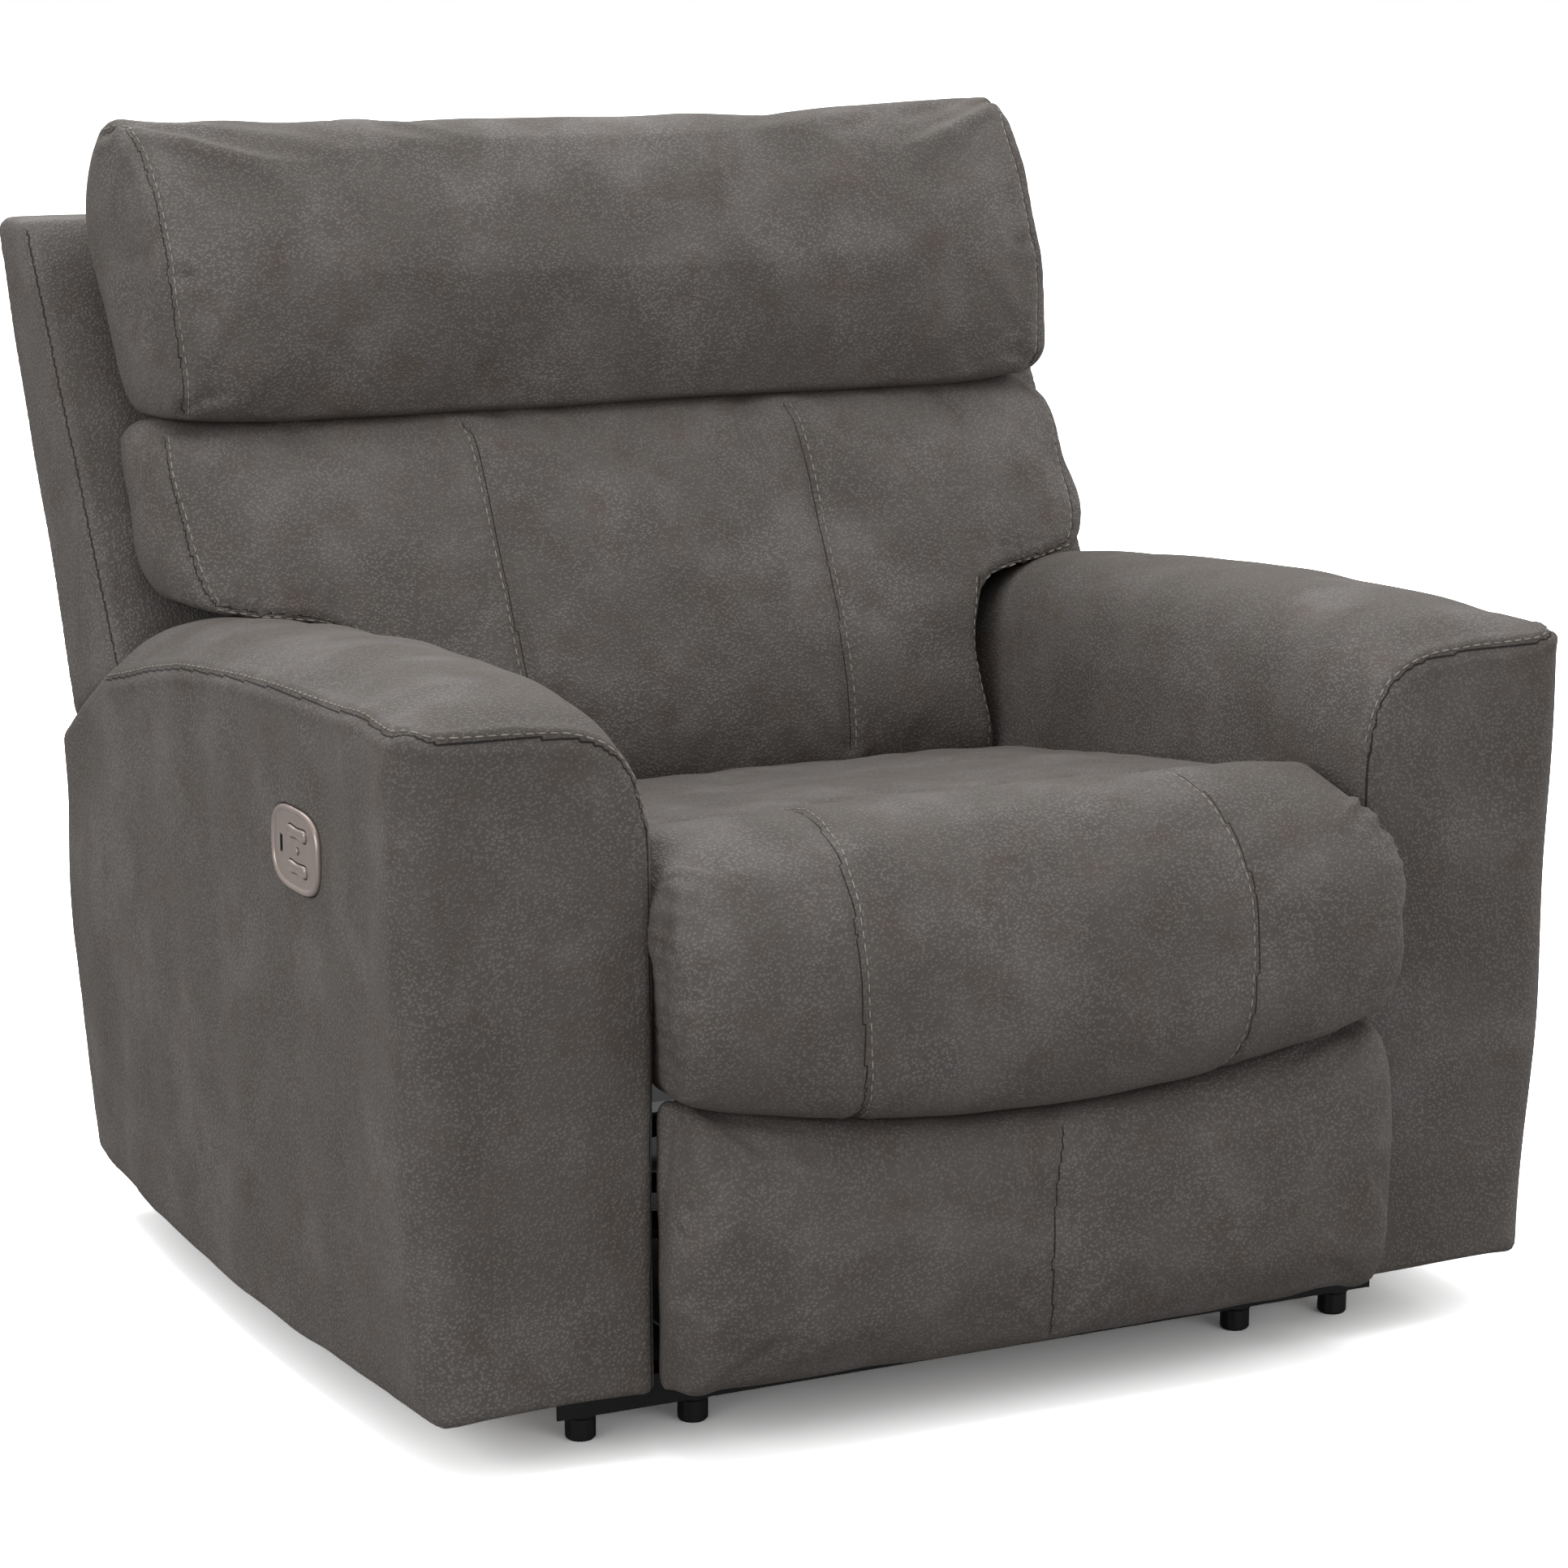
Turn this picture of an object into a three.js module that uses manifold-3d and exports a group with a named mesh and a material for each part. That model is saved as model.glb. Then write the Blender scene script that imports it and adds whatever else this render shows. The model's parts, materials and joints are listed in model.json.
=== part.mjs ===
// A powered recliner armchair: padded arms on wooden panels, a folding leg rest on a steel linkage,
// a reclining back and a tilting head cushion. Millimetres, +Z up. X runs across the chair, Y from
// the arm fronts to the rear. Shapes are drawn with Y = 0 at the arm fronts; the exported group is
// then moved back so that its origin is on the floor, in the middle of the chair's outer box.

import * as THREE from 'three';
import { mergeVertices } from 'three/addons/utils/BufferGeometryUtils.js';
import Module from 'manifold-3d';

const wasm = await Module();
wasm.setup();

// ---------- Driving dimensions ----------
const GAP = 0.4;                 // air between pieces that rest on each other

const DEPTH_CENTRE = 514.6;      // middle of the chair's depth, behind the arm fronts

const ARM_OUTER = 540;           // widest point of each arm, half the chair's width
const ARM_INNER = 340;           // inner face of each arm
const ARM_DEPTH = 902;           // front to rear of an arm
const ARM_BOTTOM = 54;
const PANEL_INNER = 384;         // wooden panel inside each arm
const PANEL_THICK = 18;

const RAIL_TOP = 51.7;           // top of the black cross rails that carry everything
const RAIL_HALF = 398;
const FRONT_RAIL_Y = 60;
const REAR_RAIL_Y = 812;
const STEEL = 3;                 // sheet thickness of the rails
const GLIDE_RADIUS = 13;
const GLIDE_XS = [-370, -267, 267, 370];

const PLATE_X = 296;             // inner face of each mechanism side plate
const SHEET = 4;                 // side plates, links and brackets
const LINK_HALF = 8.5;           // half the width of a link
const PIN = 4;
const FIT = 0.09;                // a hole's radius over its pin's, so that the pin turns freely
const SIDES = 16;                // flats on a pin or a hole

const SEAT_HALF = 336;           // seat cushion between the arms
const SEAT_RAIL_OUT = 295.5;
const SEAT_BOTTOM = 379;
const SEAT_REAR = 619;
const ROLL_HALF = 360;           // front roll, in front of the arms
const CREASE_MIDDLE = 262;       // the roll meets the leg rest along a smiling line
const CREASE_RISE = 41;
const CREASE_HALF = 335;

const FOOT_BOTTOM = 57;          // padded leg rest when folded
const FOOT_FRONT = -32;
const FOOT_BACK = 7.6;
const BOARD_THICK = 15;

const RECLINE_PIVOT = [700, 460];
const BACK_HALF = 522;           // back frame cover, above the arms
const BACK_NARROW = 333;         // the same cover between the arms
const BACK_WALL = 16;
const HEAD_PIVOT = [815, 757];
const HEAD_HALF = 480;

// Folded leg-rest linkage, each pivot as [y, z]. The two swing links hang from the side plate at
// rearPivot and drivePivot; the two long push links carry the board's bracket.
const LINKAGE = {
  rearPivot: [283.5, 265.1],
  drivePivot: [239.4, 273.3],
  crossPin: [367.6, 133.6],
  rearPin: [409.1, 122.4],
  upperPin: [334.7, 169.5],
  lowBoardPin: [49.0, 219.6],
  highBoardPin: [29.0, 275.1],
};
const CRANK_LENGTH = 60;
const CRANK_ANGLE = 57.6;        // degrees behind straight down when folded
const SHAFT_RADIUS = 11;

const PLATE_CENTRE = [272, 479]; // control plate on the arm's outer side, [y, z]
const PLATE_SIZE = [114, 75];
const PLATE_FRONT = 538;         // outer face of the control plate

// ---------- Materials ----------
const finish = (color, roughness, metalness) =>
  new THREE.MeshStandardMaterial({ color, roughness, metalness });
const UPHOLSTERY = finish(0x6b6661, 0.75, 0);
const BLACK_STEEL = finish(0x17171a, 0.5, 0.6);
const LINK_STEEL = finish(0x202124, 0.5, 0.6);
const WOOD = finish(0xb08a5a, 0.8, 0);
const BLACK_PLASTIC = finish(0x1b1b1d, 0.55, 0);
const PLATE_METAL = finish(0xb9a9a2, 0.35, 0.8);
const SPRING_WIRE = finish(0x8b8d90, 0.4, 0.9);

// ---------- Solid helpers ----------
function toSolid(geometry) {
  const bare = geometry.clone();
  bare.deleteAttribute('normal');
  bare.deleteAttribute('uv');
  const merged = mergeVertices(bare, 1e-4);
  return new wasm.Manifold(new wasm.Mesh({
    numProp: 3,
    vertProperties: Float32Array.from(merged.attributes.position.array),
    triVerts: Uint32Array.from(merged.index.array),
  }));
}

function toGeometry(solid) {
  const mesh = solid.getMesh();
  const geometry = new THREE.BufferGeometry();
  geometry.setAttribute('position', new THREE.BufferAttribute(mesh.vertProperties, 3));
  geometry.setIndex(new THREE.BufferAttribute(mesh.triVerts, 1));
  return geometry;
}

const join = (...parts) => toGeometry(parts.map(toSolid).reduce((sum, part) => sum.add(part)));

const cut = (body, ...tools) =>
  toGeometry(tools.map(toSolid).reduce((left, tool) => left.subtract(tool), toSolid(body)));

// The same piece for the other side of the chair, with its faces still pointing out.
function mirrored(geometry) {
  const copy = geometry.index ? geometry.toNonIndexed() : geometry.clone();
  copy.scale(-1, 1, 1);
  const position = copy.attributes.position;
  for (let i = 0; i < position.count; i += 3) {
    const [x, y, z] = [position.getX(i), position.getY(i), position.getZ(i)];
    position.setXYZ(i, position.getX(i + 1), position.getY(i + 1), position.getZ(i + 1));
    position.setXYZ(i + 1, x, y, z);
  }
  copy.deleteAttribute('normal');
  copy.deleteAttribute('uv');
  return mergeVertices(copy, 1e-4);
}

// Extrusions. Along X an outline is [y, z], along Y it is [x, z], along Z it is [x, y].
const TURN = {
  x: new THREE.Matrix4().makeBasis(
    new THREE.Vector3(0, 1, 0), new THREE.Vector3(0, 0, 1), new THREE.Vector3(1, 0, 0)),
  y: new THREE.Matrix4().makeRotationX(Math.PI / 2),
  z: new THREE.Matrix4(),
};

function extrude(axis, outline, from, to, holes = []) {
  const shape = new THREE.Shape(outline.map(([u, v]) => new THREE.Vector2(u, v)));
  const geometry = new THREE.ExtrudeGeometry(shape, { depth: to - from, bevelEnabled: false });
  geometry.translate(0, 0, axis === 'y' ? -to : from);
  geometry.applyMatrix4(TURN[axis]);
  if (holes.length === 0) return geometry;
  return cut(geometry, ...holes.map((hole) => extrude(axis, hole, from - 1, to + 1)));
}

const box = (x0, x1, y0, y1, z0, z1) => extrude('z', rectangle(x0, x1, y0, y1), z0, z1);

const rectangle = (u0, u1, v0, v1) => [[u0, v0], [u1, v0], [u1, v1], [u0, v1]];

function circle([u, v], radius, sides = SIDES) {
  return Array.from({ length: sides }, (_, i) => {
    const angle = (2 * Math.PI * i) / sides;
    return [u + radius * Math.cos(angle), v + radius * Math.sin(angle)];
  });
}

const rod = (axis, centre, radius, from, to, sides = SIDES) =>
  extrude(axis, circle(centre, radius, sides), from, to);

// A polygon whose corners [u, v, radius] are rounded; every corner gives steps + 1 points.
function rounded(corners, steps = 2) {
  return corners.flatMap(([u, v, radius = 0], i) => {
    const here = new THREE.Vector2(u, v);
    if (radius === 0) return [[u, v]];
    const towards = (other) => new THREE.Vector2(...other.slice(0, 2)).sub(here).normalize();
    const before = towards(corners.at(i - 1));
    const after = towards(corners[(i + 1) % corners.length]);
    const half = Math.acos(THREE.MathUtils.clamp(before.dot(after), -1, 1)) / 2;
    const reach = radius / Math.tan(half);
    const start = here.clone().addScaledVector(before, reach);
    const end = here.clone().addScaledVector(after, reach);
    const curve = new THREE.QuadraticBezierCurve(start, here, end);
    return curve.getPoints(steps).map((point) => [point.x, point.y]);
  });
}

// The outline of a flat link with round ends, from pivot to pivot.
function strap([u0, v0], [u1, v1], half = LINK_HALF, steps = 6) {
  const along = Math.atan2(v1 - v0, u1 - u0);
  const end = (u, v, start) => Array.from({ length: steps + 1 }, (_, i) => {
    const angle = start + (Math.PI * i) / steps;
    return [u + half * Math.cos(angle), v + half * Math.sin(angle)];
  });
  return [...end(u1, v1, along - Math.PI / 2), ...end(u0, v0, along + Math.PI / 2)];
}

// A closed skin through rings of points; each ring is a list of [x, y, z] of the same length.
function loft(rings) {
  const count = rings[0].length;
  const positions = rings.flat(2);
  const middle = (ring) => [0, 1, 2].map((k) => ring.reduce((sum, p) => sum + p[k], 0) / count);
  positions.push(...middle(rings[0]), ...middle(rings.at(-1)));
  const faces = [];
  for (let r = 0; r < rings.length - 1; r += 1) {
    for (let i = 0; i < count; i += 1) {
      const a = r * count + i;
      const b = r * count + ((i + 1) % count);
      faces.push(a, b, b + count, a, b + count, a + count);
    }
  }
  const first = rings.length * count;
  const last = (rings.length - 1) * count;
  for (let i = 0; i < count; i += 1) {
    const next = (i + 1) % count;
    faces.push(first, next, i, first + 1, last + i, last + next);
  }
  const geometry = new THREE.BufferGeometry();
  geometry.setAttribute('position', new THREE.Float32BufferAttribute(positions, 3));
  geometry.setIndex(faces);
  return facingOut(geometry);
}

function facingOut(geometry) {
  const { position } = geometry.attributes;
  const index = geometry.index.array;
  const corner = [new THREE.Vector3(), new THREE.Vector3(), new THREE.Vector3()];
  let volume = 0;
  for (let i = 0; i < index.length; i += 3) {
    corner.forEach((point, k) => point.fromBufferAttribute(position, index[i + k]));
    volume += corner[0].dot(corner[1].clone().cross(corner[2]));
  }
  if (volume < 0) index.reverse();
  return geometry;
}

// A smooth height along a run of [position, height] knots.
function smoothLine(knots) {
  const slope = (i) => {
    const a = knots[Math.max(i - 1, 0)];
    const b = knots[Math.min(i + 1, knots.length - 1)];
    return (b[1] - a[1]) / (b[0] - a[0]);
  };
  return (at) => {
    const last = knots.length - 2;
    const i = Math.min(Math.max(knots.findLastIndex((knot) => knot[0] <= at), 0), last);
    const [[p0, h0], [p1, h1]] = [knots[i], knots[i + 1]];
    const t = THREE.MathUtils.clamp((at - p0) / (p1 - p0), 0, 1);
    const span = p1 - p0;
    return h0 * (2 * t ** 3 - 3 * t ** 2 + 1) + slope(i) * span * (t ** 3 - 2 * t ** 2 + t)
      + h1 * (3 * t ** 2 - 2 * t ** 3) + slope(i + 1) * span * (t ** 3 - t ** 2);
  };
}

// A cushion lofted along X. profile(x) gives its [y, z] outline; both ends are rounded over.
function cushion(half, roundOver, shrink, profile) {
  const ends = [0, 0.42, 0.8, 1];
  const middle = half - roundOver;
  const right = [
    ...[0.35, 0.7].map((part) => [middle * part, 1]),
    ...ends.map((t) => [middle + roundOver * t, 1 - shrink * (1 - Math.sqrt(1 - t * t))]),
  ];
  const stations = [...right.map(([x, size]) => [-x, size]).reverse(), [0, 1], ...right];
  return loft(stations.map(([x, size]) => {
    const ring = profile(x);
    const centre = [0, 1].map((k) => ring.reduce((sum, p) => sum + p[k], 0) / ring.length);
    return ring.map((p) => [x, ...p.map((value, k) => centre[k] + (value - centre[k]) * size)]);
  }));
}

// ---------- The chair ----------
const chair = new THREE.Group();

function add(name, geometry, material) {
  const mesh = new THREE.Mesh(geometry, material.clone());
  mesh.name = name;
  chair.add(mesh);
}

// Adds a piece drawn on the +X side, and its mirror image on the other.
function addPair(name, geometry, material) {
  add(`${name}_right`, geometry, material);
  add(`${name}_left`, mirrored(geometry), material);
}

const crease = (x) => CREASE_MIDDLE + CREASE_RISE * Math.min(Math.abs(x) / CREASE_HALF, 1) ** 2;

// ---------- Base: cross rails, side rails and glides ----------
function crossRail(webY, direction) {
  const far = webY + 34 * direction;
  const flange = [[webY, RAIL_TOP], [far, RAIL_TOP], [far, RAIL_TOP - STEEL],
    [webY + STEEL * direction, RAIL_TOP - STEEL], [webY + STEEL * direction, 24], [webY, 24]];
  const outline = direction > 0 ? [...flange].reverse() : flange;
  const bolts = GLIDE_XS.map((x) =>
    rod('z', [x, webY + 18 * direction], PIN + GAP, RAIL_TOP - 5, RAIL_TOP + 5, 8));
  return cut(extrude('x', outline, -RAIL_HALF, RAIL_HALF), ...bolts);
}

function glide(x, y) {
  const top = RAIL_TOP - STEEL - GAP;
  const profile = [[0, 0], [11, 0], [GLIDE_RADIUS, 2], [GLIDE_RADIUS, 19], [15, 21], [15, top],
    [PIN, top], [PIN, RAIL_TOP - GAP], [0, RAIL_TOP - GAP]];
  const turned = new THREE.LatheGeometry(profile.map(([r, z]) => new THREE.Vector2(r, z)), 12);
  turned.rotateX(Math.PI / 2).translate(x, y, 0);
  return join(turned);
}

function sideRail() {
  const inner = PLATE_X - GAP;
  const bottom = RAIL_TOP + GAP;
  const outline = [[262, bottom], [inner, bottom], [inner, 84], [inner - STEEL, 84],
    [inner - STEEL, bottom + STEEL], [262, bottom + STEEL]];
  return extrude('y', outline, FRONT_RAIL_Y + 2, REAR_RAIL_Y - 2);
}

add('front_rail', crossRail(FRONT_RAIL_Y, 1), BLACK_STEEL);
add('rear_rail', crossRail(REAR_RAIL_Y, -1), BLACK_STEEL);
addPair('side_rail', sideRail(), BLACK_STEEL);
['front', 'rear'].forEach((end) => GLIDE_XS.forEach((x, i) => {
  const y = end === 'front' ? FRONT_RAIL_Y + 18 : REAR_RAIL_Y - 18;
  add(`glide_${end}_${i + 1}`, glide(x, y), BLACK_PLASTIC);
}));

// ---------- Arms ----------
// Heights of the outer seam and of the padded crown along the arm, as [y, z].
const armSeam = smoothLine([[0, 617], [100, 616], [197, 612], [330, 606], [448, 597],
  [605, 577], [717, 551], [773, 538], [ARM_DEPTH, 465]]);
const armCrown = smoothLine([[0, 617], [30, 631], [90, 640], [195, 642], [354, 637],
  [440, 630], [550, 620], [661, 608], [744, 592], [830, 548], [ARM_DEPTH, 484]]);

function armRing(y, inset) {
  const crown = armCrown(y) - inset;
  const seam = armSeam(y) - inset;
  const corners = [
    [ARM_INNER + inset / 3, ARM_BOTTOM, 12],
    [ARM_OUTER - 24 - inset, ARM_BOTTOM, 12],
    [ARM_OUTER - 9 - inset, 300],
    [ARM_OUTER - 3.5 - inset, PLATE_CENTRE[1]],
    [ARM_OUTER - inset, seam, 6],
    [500, THREE.MathUtils.lerp(seam, crown, 0.8)],
    [450, crown],
    [400, crown - 6],
    [ARM_INNER + inset / 3, crown - 14, 46],
  ];
  return rounded(corners).map(([x, z]) => [x, y, z]);
}

// Where the back's wings come down when it reclines, the arm is hollowed behind its outer panel.
const WING_RECESS = [[746, 700], [750, 578], [772, 528], [797, 484], [884, 358], [930, 320],
  [930, 700]];

const panelOutline = (grow) => [
  [50 - grow, ARM_BOTTOM - 2], [50 - grow, 560 + grow], [420 + grow, 560 + grow],
  [700 + grow, 500 + grow], [780 + grow, 440], [840 + grow, 350], [840 + grow, ARM_BOTTOM - 2]];

function armCover() {
  const stations = [[0, 11], [3, 4.5], [10, 0], [50, 0], [120, 0], [220, 0], [340, 0], [460, 0],
    [570, 0], [660, 0], [745, 0], [800, 0], [850, 0], [892, 0], [899, 4], [ARM_DEPTH, 10]];
  const cover = loft(stations.map(([y, inset]) => armRing(y, inset)));
  const pocket = extrude('x', panelOutline(GAP).map(([y, z]) => [y, z < ARM_BOTTOM ? z - 9 : z]),
    PANEL_INNER - GAP, PANEL_INNER + PANEL_THICK + GAP);
  const recess = extrude('x', WING_RECESS, ARM_INNER - 20, BACK_HALF + 5);
  return cut(cover, pocket, recess);
}

function armPanel() {
  const windows = [[110, 210], [270, 370], [430, 530], [590, 690]].flatMap(([y0, y1]) =>
    [[120, 220], [270, 370]].map(([z0, z1]) => rectangle(y0, y1, z0, z1)));
  return extrude('x', panelOutline(0), PANEL_INNER, PANEL_INNER + PANEL_THICK, windows);
}

// The control box sits in a pocket in the left arm's outer side.
const [PLATE_Y, PLATE_Z] = PLATE_CENTRE;
const plateOutline = (grow) => {
  const [halfY, halfZ] = PLATE_SIZE.map((size) => size / 2 + grow);
  return rounded([[PLATE_Y - halfY, PLATE_Z - halfZ, 32], [PLATE_Y + halfY, PLATE_Z - halfZ, 32],
    [PLATE_Y + halfY, PLATE_Z + halfZ, 32], [PLATE_Y - halfY, PLATE_Z + halfZ, 32]], 4);
};
const BOX_DEPTH = 30;
const boxOutline = (grow) => rectangle(PLATE_Y - 44 - grow, PLATE_Y + 44 + grow,
  PLATE_Z - 28 - grow, PLATE_Z + 28 + grow);

const cover = armCover();
const plateBack = PLATE_FRONT - 3.5;
const controlPocket = join(
  extrude('x', plateOutline(GAP), plateBack - GAP, ARM_OUTER + 5),
  extrude('x', boxOutline(GAP), plateBack - BOX_DEPTH - GAP, ARM_OUTER + 5));
add('arm_cover_right', cover, UPHOLSTERY);
add('arm_cover_left', mirrored(cut(cover, controlPocket)), UPHOLSTERY);
addPair('arm_panel', armPanel(), WOOD);

// ---------- Control plate, box, rockers and home button ----------
// A rocker is a waisted lozenge, wide at both ends, that tips fore and aft about its middle.
const rockerOutline = (centreZ, grow) => {
  const [halfLength, halfEnd, halfWaist] = [21 + grow, 7 + grow, 5 + grow];
  return rounded([[PLATE_Y - 6 - halfLength, centreZ - halfEnd, 4], [PLATE_Y - 6, centreZ - halfWaist],
    [PLATE_Y - 6 + halfLength, centreZ - halfEnd, 4], [PLATE_Y - 6 + halfLength, centreZ + halfEnd, 4],
    [PLATE_Y - 6, centreZ + halfWaist + 1], [PLATE_Y - 6 - halfLength, centreZ + halfEnd, 4]]);
};
const ROCKERS = { recline_rocker: PLATE_Z + 15, headrest_rocker: PLATE_Z - 15 };
const HOME_CENTRE = [PLATE_Y - 6, PLATE_Z];
const USB = rectangle(PLATE_Y + 29, PLATE_Y + 36, PLATE_Z - 8, PLATE_Z + 8);
const USB_MOUTH = rectangle(PLATE_Y + 30.2, PLATE_Y + 34.8, PLATE_Z - 6.2, PLATE_Z + 6.2);

function controlPlate() {
  const windows = Object.values(ROCKERS).map((z) => rockerOutline(z, 0.9));
  const rim = extrude('x', plateOutline(0), plateBack, PLATE_FRONT - 1.2,
    [...windows, circle(HOME_CENTRE, 3.4, 12), USB]);
  const raised = extrude('x', plateOutline(-4), plateBack, PLATE_FRONT,
    [...windows, circle(HOME_CENTRE, 3.4, 12), USB]);
  return mirrored(join(rim, raised));
}

function controlBox() {
  const shell = extrude('x', boxOutline(0), plateBack - BOX_DEPTH, plateBack - GAP);
  const hollow = extrude('x', boxOutline(-2), plateBack - BOX_DEPTH + 2, plateBack + 5);
  const hinges = Object.values(ROCKERS).flatMap((z) => [z - 9.4, z + 8.4].map((low) =>
    box(plateBack - BOX_DEPTH + 1, plateBack - 6, PLATE_Y - 8, PLATE_Y - 4, low, low + 1)));
  return mirrored(join(cut(shell, hollow), ...hinges));
}

const rocker = (z) => mirrored(join(
  extrude('x', rockerOutline(z, 0), plateBack - 5, PLATE_FRONT + 1.3),
  rod('z', [plateBack - 6, PLATE_Y - 6], 2.2, z - 7, z + 7, 12)));

const homeButton = () => mirrored(join(
  rod('x', HOME_CENTRE, 2.7, plateBack - 6, PLATE_FRONT + 0.9, 12),
  rod('x', HOME_CENTRE, 4.6, plateBack - 6, plateBack - 3, 12)));

const usbSocket = () => mirrored(cut(
  extrude('x', USB.map(([y, z]) => [y + Math.sign(PLATE_Y + 32.5 - y) * GAP,
    z + Math.sign(PLATE_Z - z) * GAP]), plateBack - 14, PLATE_FRONT - 0.5),
  extrude('x', USB_MOUTH, plateBack - 11, PLATE_FRONT + 3)));

add('control_plate', controlPlate(), PLATE_METAL);
add('control_box', controlBox(), BLACK_PLASTIC);
Object.entries(ROCKERS).forEach(([name, z]) => add(name, rocker(z), PLATE_METAL));
add('home_button', homeButton(), PLATE_METAL);
add('usb_socket', usbSocket(), BLACK_PLASTIC);

// ---------- Seat: rails, springs and the cushion with its front roll ----------
const SEAT_RAIL = { bottom: 292, top: 371, front: 62, rear: 640, thick: 25 };

function seatFrame() {
  const { bottom, top, front, rear, thick } = SEAT_RAIL;
  const outer = rectangle(-SEAT_RAIL_OUT, SEAT_RAIL_OUT, front, rear);
  const inner = rectangle(thick - SEAT_RAIL_OUT, SEAT_RAIL_OUT - thick, front + thick, rear - thick);
  return extrude('z', outer, bottom, top, [inner]);
}

// Five zigzag wires from the front rail to the rear rail, held apart by two cross wires.
function seatSprings() {
  const [wire, low, pitch, swing] = [1.8, SEAT_RAIL.top + GAP, 46, 26];
  const high = low + 2 * wire;
  const zigzag = (x) => {
    const bends = [[x, SEAT_RAIL.front + 5]];
    for (let k = 0; k < 12; k += 1) {
      const y = SEAT_RAIL.front + 20 + k * pitch;
      const side = k % 2 ? swing : -swing;
      bends.push([x + side, y], [x + side, y + pitch * 0.75]);
    }
    bends.push([x, SEAT_RAIL.rear - 5]);
    return ribbon(bends, wire);
  };
  const wires = [-210, -105, 0, 105, 210].map((x) => extrude('z', zigzag(x), low, high));
  const ties = [230, 440].map((y) => box(-233, 233, y, y + 3, low + 0.5, high - 0.5));
  return join(...wires, ...ties);
}

// A band of even width along a bent line.
function ribbon(line, half) {
  const side = (sign) => line.map(([u, v], i) => {
    const [pu, pv] = line[Math.max(i - 1, 0)];
    const [nu, nv] = line[Math.min(i + 1, line.length - 1)];
    const length = Math.hypot(nu - pu, nv - pv);
    return [u - (sign * half * 1.3 * (nv - pv)) / length, v + (sign * half * 1.3 * (nu - pu)) / length];
  });
  return [...side(-1), ...side(1).reverse()];
}

function seatCushion() {
  const deck = cushion(SEAT_HALF, 26, 0.1, (x) => {
    const crown = 7 * (1 - (x / SEAT_HALF) ** 2);
    return [[58.5, SEAT_BOTTOM], [SEAT_REAR - 4, SEAT_BOTTOM], [SEAT_REAR, 392], [SEAT_REAR - 4, 422],
      [SEAT_REAR - 22, 430 + crown], [480, 449 + crown], [330, 472 + crown], [190, 492 + crown],
      [90, 506 + crown], [58.5, 500]];
  });
  const roll = cushion(ROLL_HALF, 46, 0.24, (x) => {
    const low = crease(x) + 4;
    const bulge = 12 * (1 - (x / ROLL_HALF) ** 2);
    return [[56, low + 16], [58.5, 330], [58.5, 380], [72, 450], [96, 500], [88, 516], [62, 524],
      [30, 521], [-8, 505], [-38, 476], [-54 - bulge, 436], [-60 - bulge, 392], [-58 - bulge, 348],
      [-50 - bulge, low + 34], [-40, low + 12], [-26, low + 3], [0, low], [34, low + 2]];
  });
  const besideArms = [1, -1].map((side) => {
    const [near, far] = [SEAT_HALF + 0.5, ROLL_HALF + 30].map((x) => x * side).sort((a, b) => a - b);
    return box(near, far, -3, 140, 200, 600);
  });
  const overFrame = box(-SEAT_HALF - 40, SEAT_HALF + 40, 58.5, 140, 200, SEAT_BOTTOM);
  return cut(join(deck, roll), ...besideArms, overFrame);
}

add('seat_frame', seatFrame(), WOOD);
add('seat_springs', seatSprings(), SPRING_WIRE);
add('seat_cushion', seatCushion(), UPHOLSTERY);

// ---------- Mechanism side plates and cross tubes ----------
const FRONT_TUBE = [150, 150];
const REAR_TUBE = [690, 150];

function sidePlate() {
  const [pivotY, pivotZ] = RECLINE_PIVOT;
  const outline = rounded([[100, 56, 12], [760, 56, 12], [748, 120, 20], [705, 214, 24], [662, 236, 24],
    [668, 330, 20], [722, 390, 24], [pivotY + 23, pivotZ + 24, 20], [pivotY - 23, pivotZ + 24, 20],
    [pivotY - 23, 371, 4], [100, 371, 12]]);
  const windows = [[190, 285], [330, 430], [475, 575]].map(([y0, y1]) =>
    rounded(rectangle(y0, y1, 98, 200).map((corner) => [...corner, 14])));
  const upper = [[330, 430], [475, 575]].map(([y0, y1]) =>
    rounded(rectangle(y0, y1, 240, 330).map((corner) => [...corner, 14])));
  const holes = [circle(LINKAGE.rearPivot, PIN + FIT), circle(LINKAGE.drivePivot, SHAFT_RADIUS + FIT, 32)];
  const plate = extrude('x', outline, PLATE_X, PLATE_X + SHEET, [...windows, ...upper, ...holes]);
  const reclinePin = join(rod('x', RECLINE_PIVOT, 7, PLATE_X - 6.5, PLATE_X + SHEET - 1, 28),
    rod('x', RECLINE_PIVOT, 11, PLATE_X - 8.5, PLATE_X - 5.5));
  return join(plate, reclinePin);
}

const crossTube = (centre) => {
  const half = PLATE_X - GAP;
  return cut(rod('x', centre, 12, -half, half), rod('x', centre, 9.5, -half - 5, half + 5));
};

addPair('side_plate', sidePlate(), LINK_STEEL);
add('cross_tube_front', crossTube(FRONT_TUBE), LINK_STEEL);
add('cross_tube_rear', crossTube(REAR_TUBE), LINK_STEEL);

// ---------- Leg-rest linkage ----------
// Two layers of links lie outside each side plate: swing links and board bracket, then push links.
const LAYER = [PLATE_X + SHEET + 1, PLATE_X + 2 * SHEET + 2];
const RIVET = { radius: 8, head: 2 };

function link(ends, layer, holes) {
  const from = LAYER[layer];
  return extrude('x', strap(...ends), from, from + SHEET,
    holes.map(([pivot, radius]) => circle(pivot, radius)));
}

// A rivet fixed in the inner layer, running out through the outer layer to its head.
function rivet(pivot) {
  const outside = LAYER[1] + SHEET + 0.5;
  return [rod('x', pivot, PIN, LAYER[0] + 1, outside + 1),
    rod('x', pivot, RIVET.radius, outside, outside + RIVET.head)];
}

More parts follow.
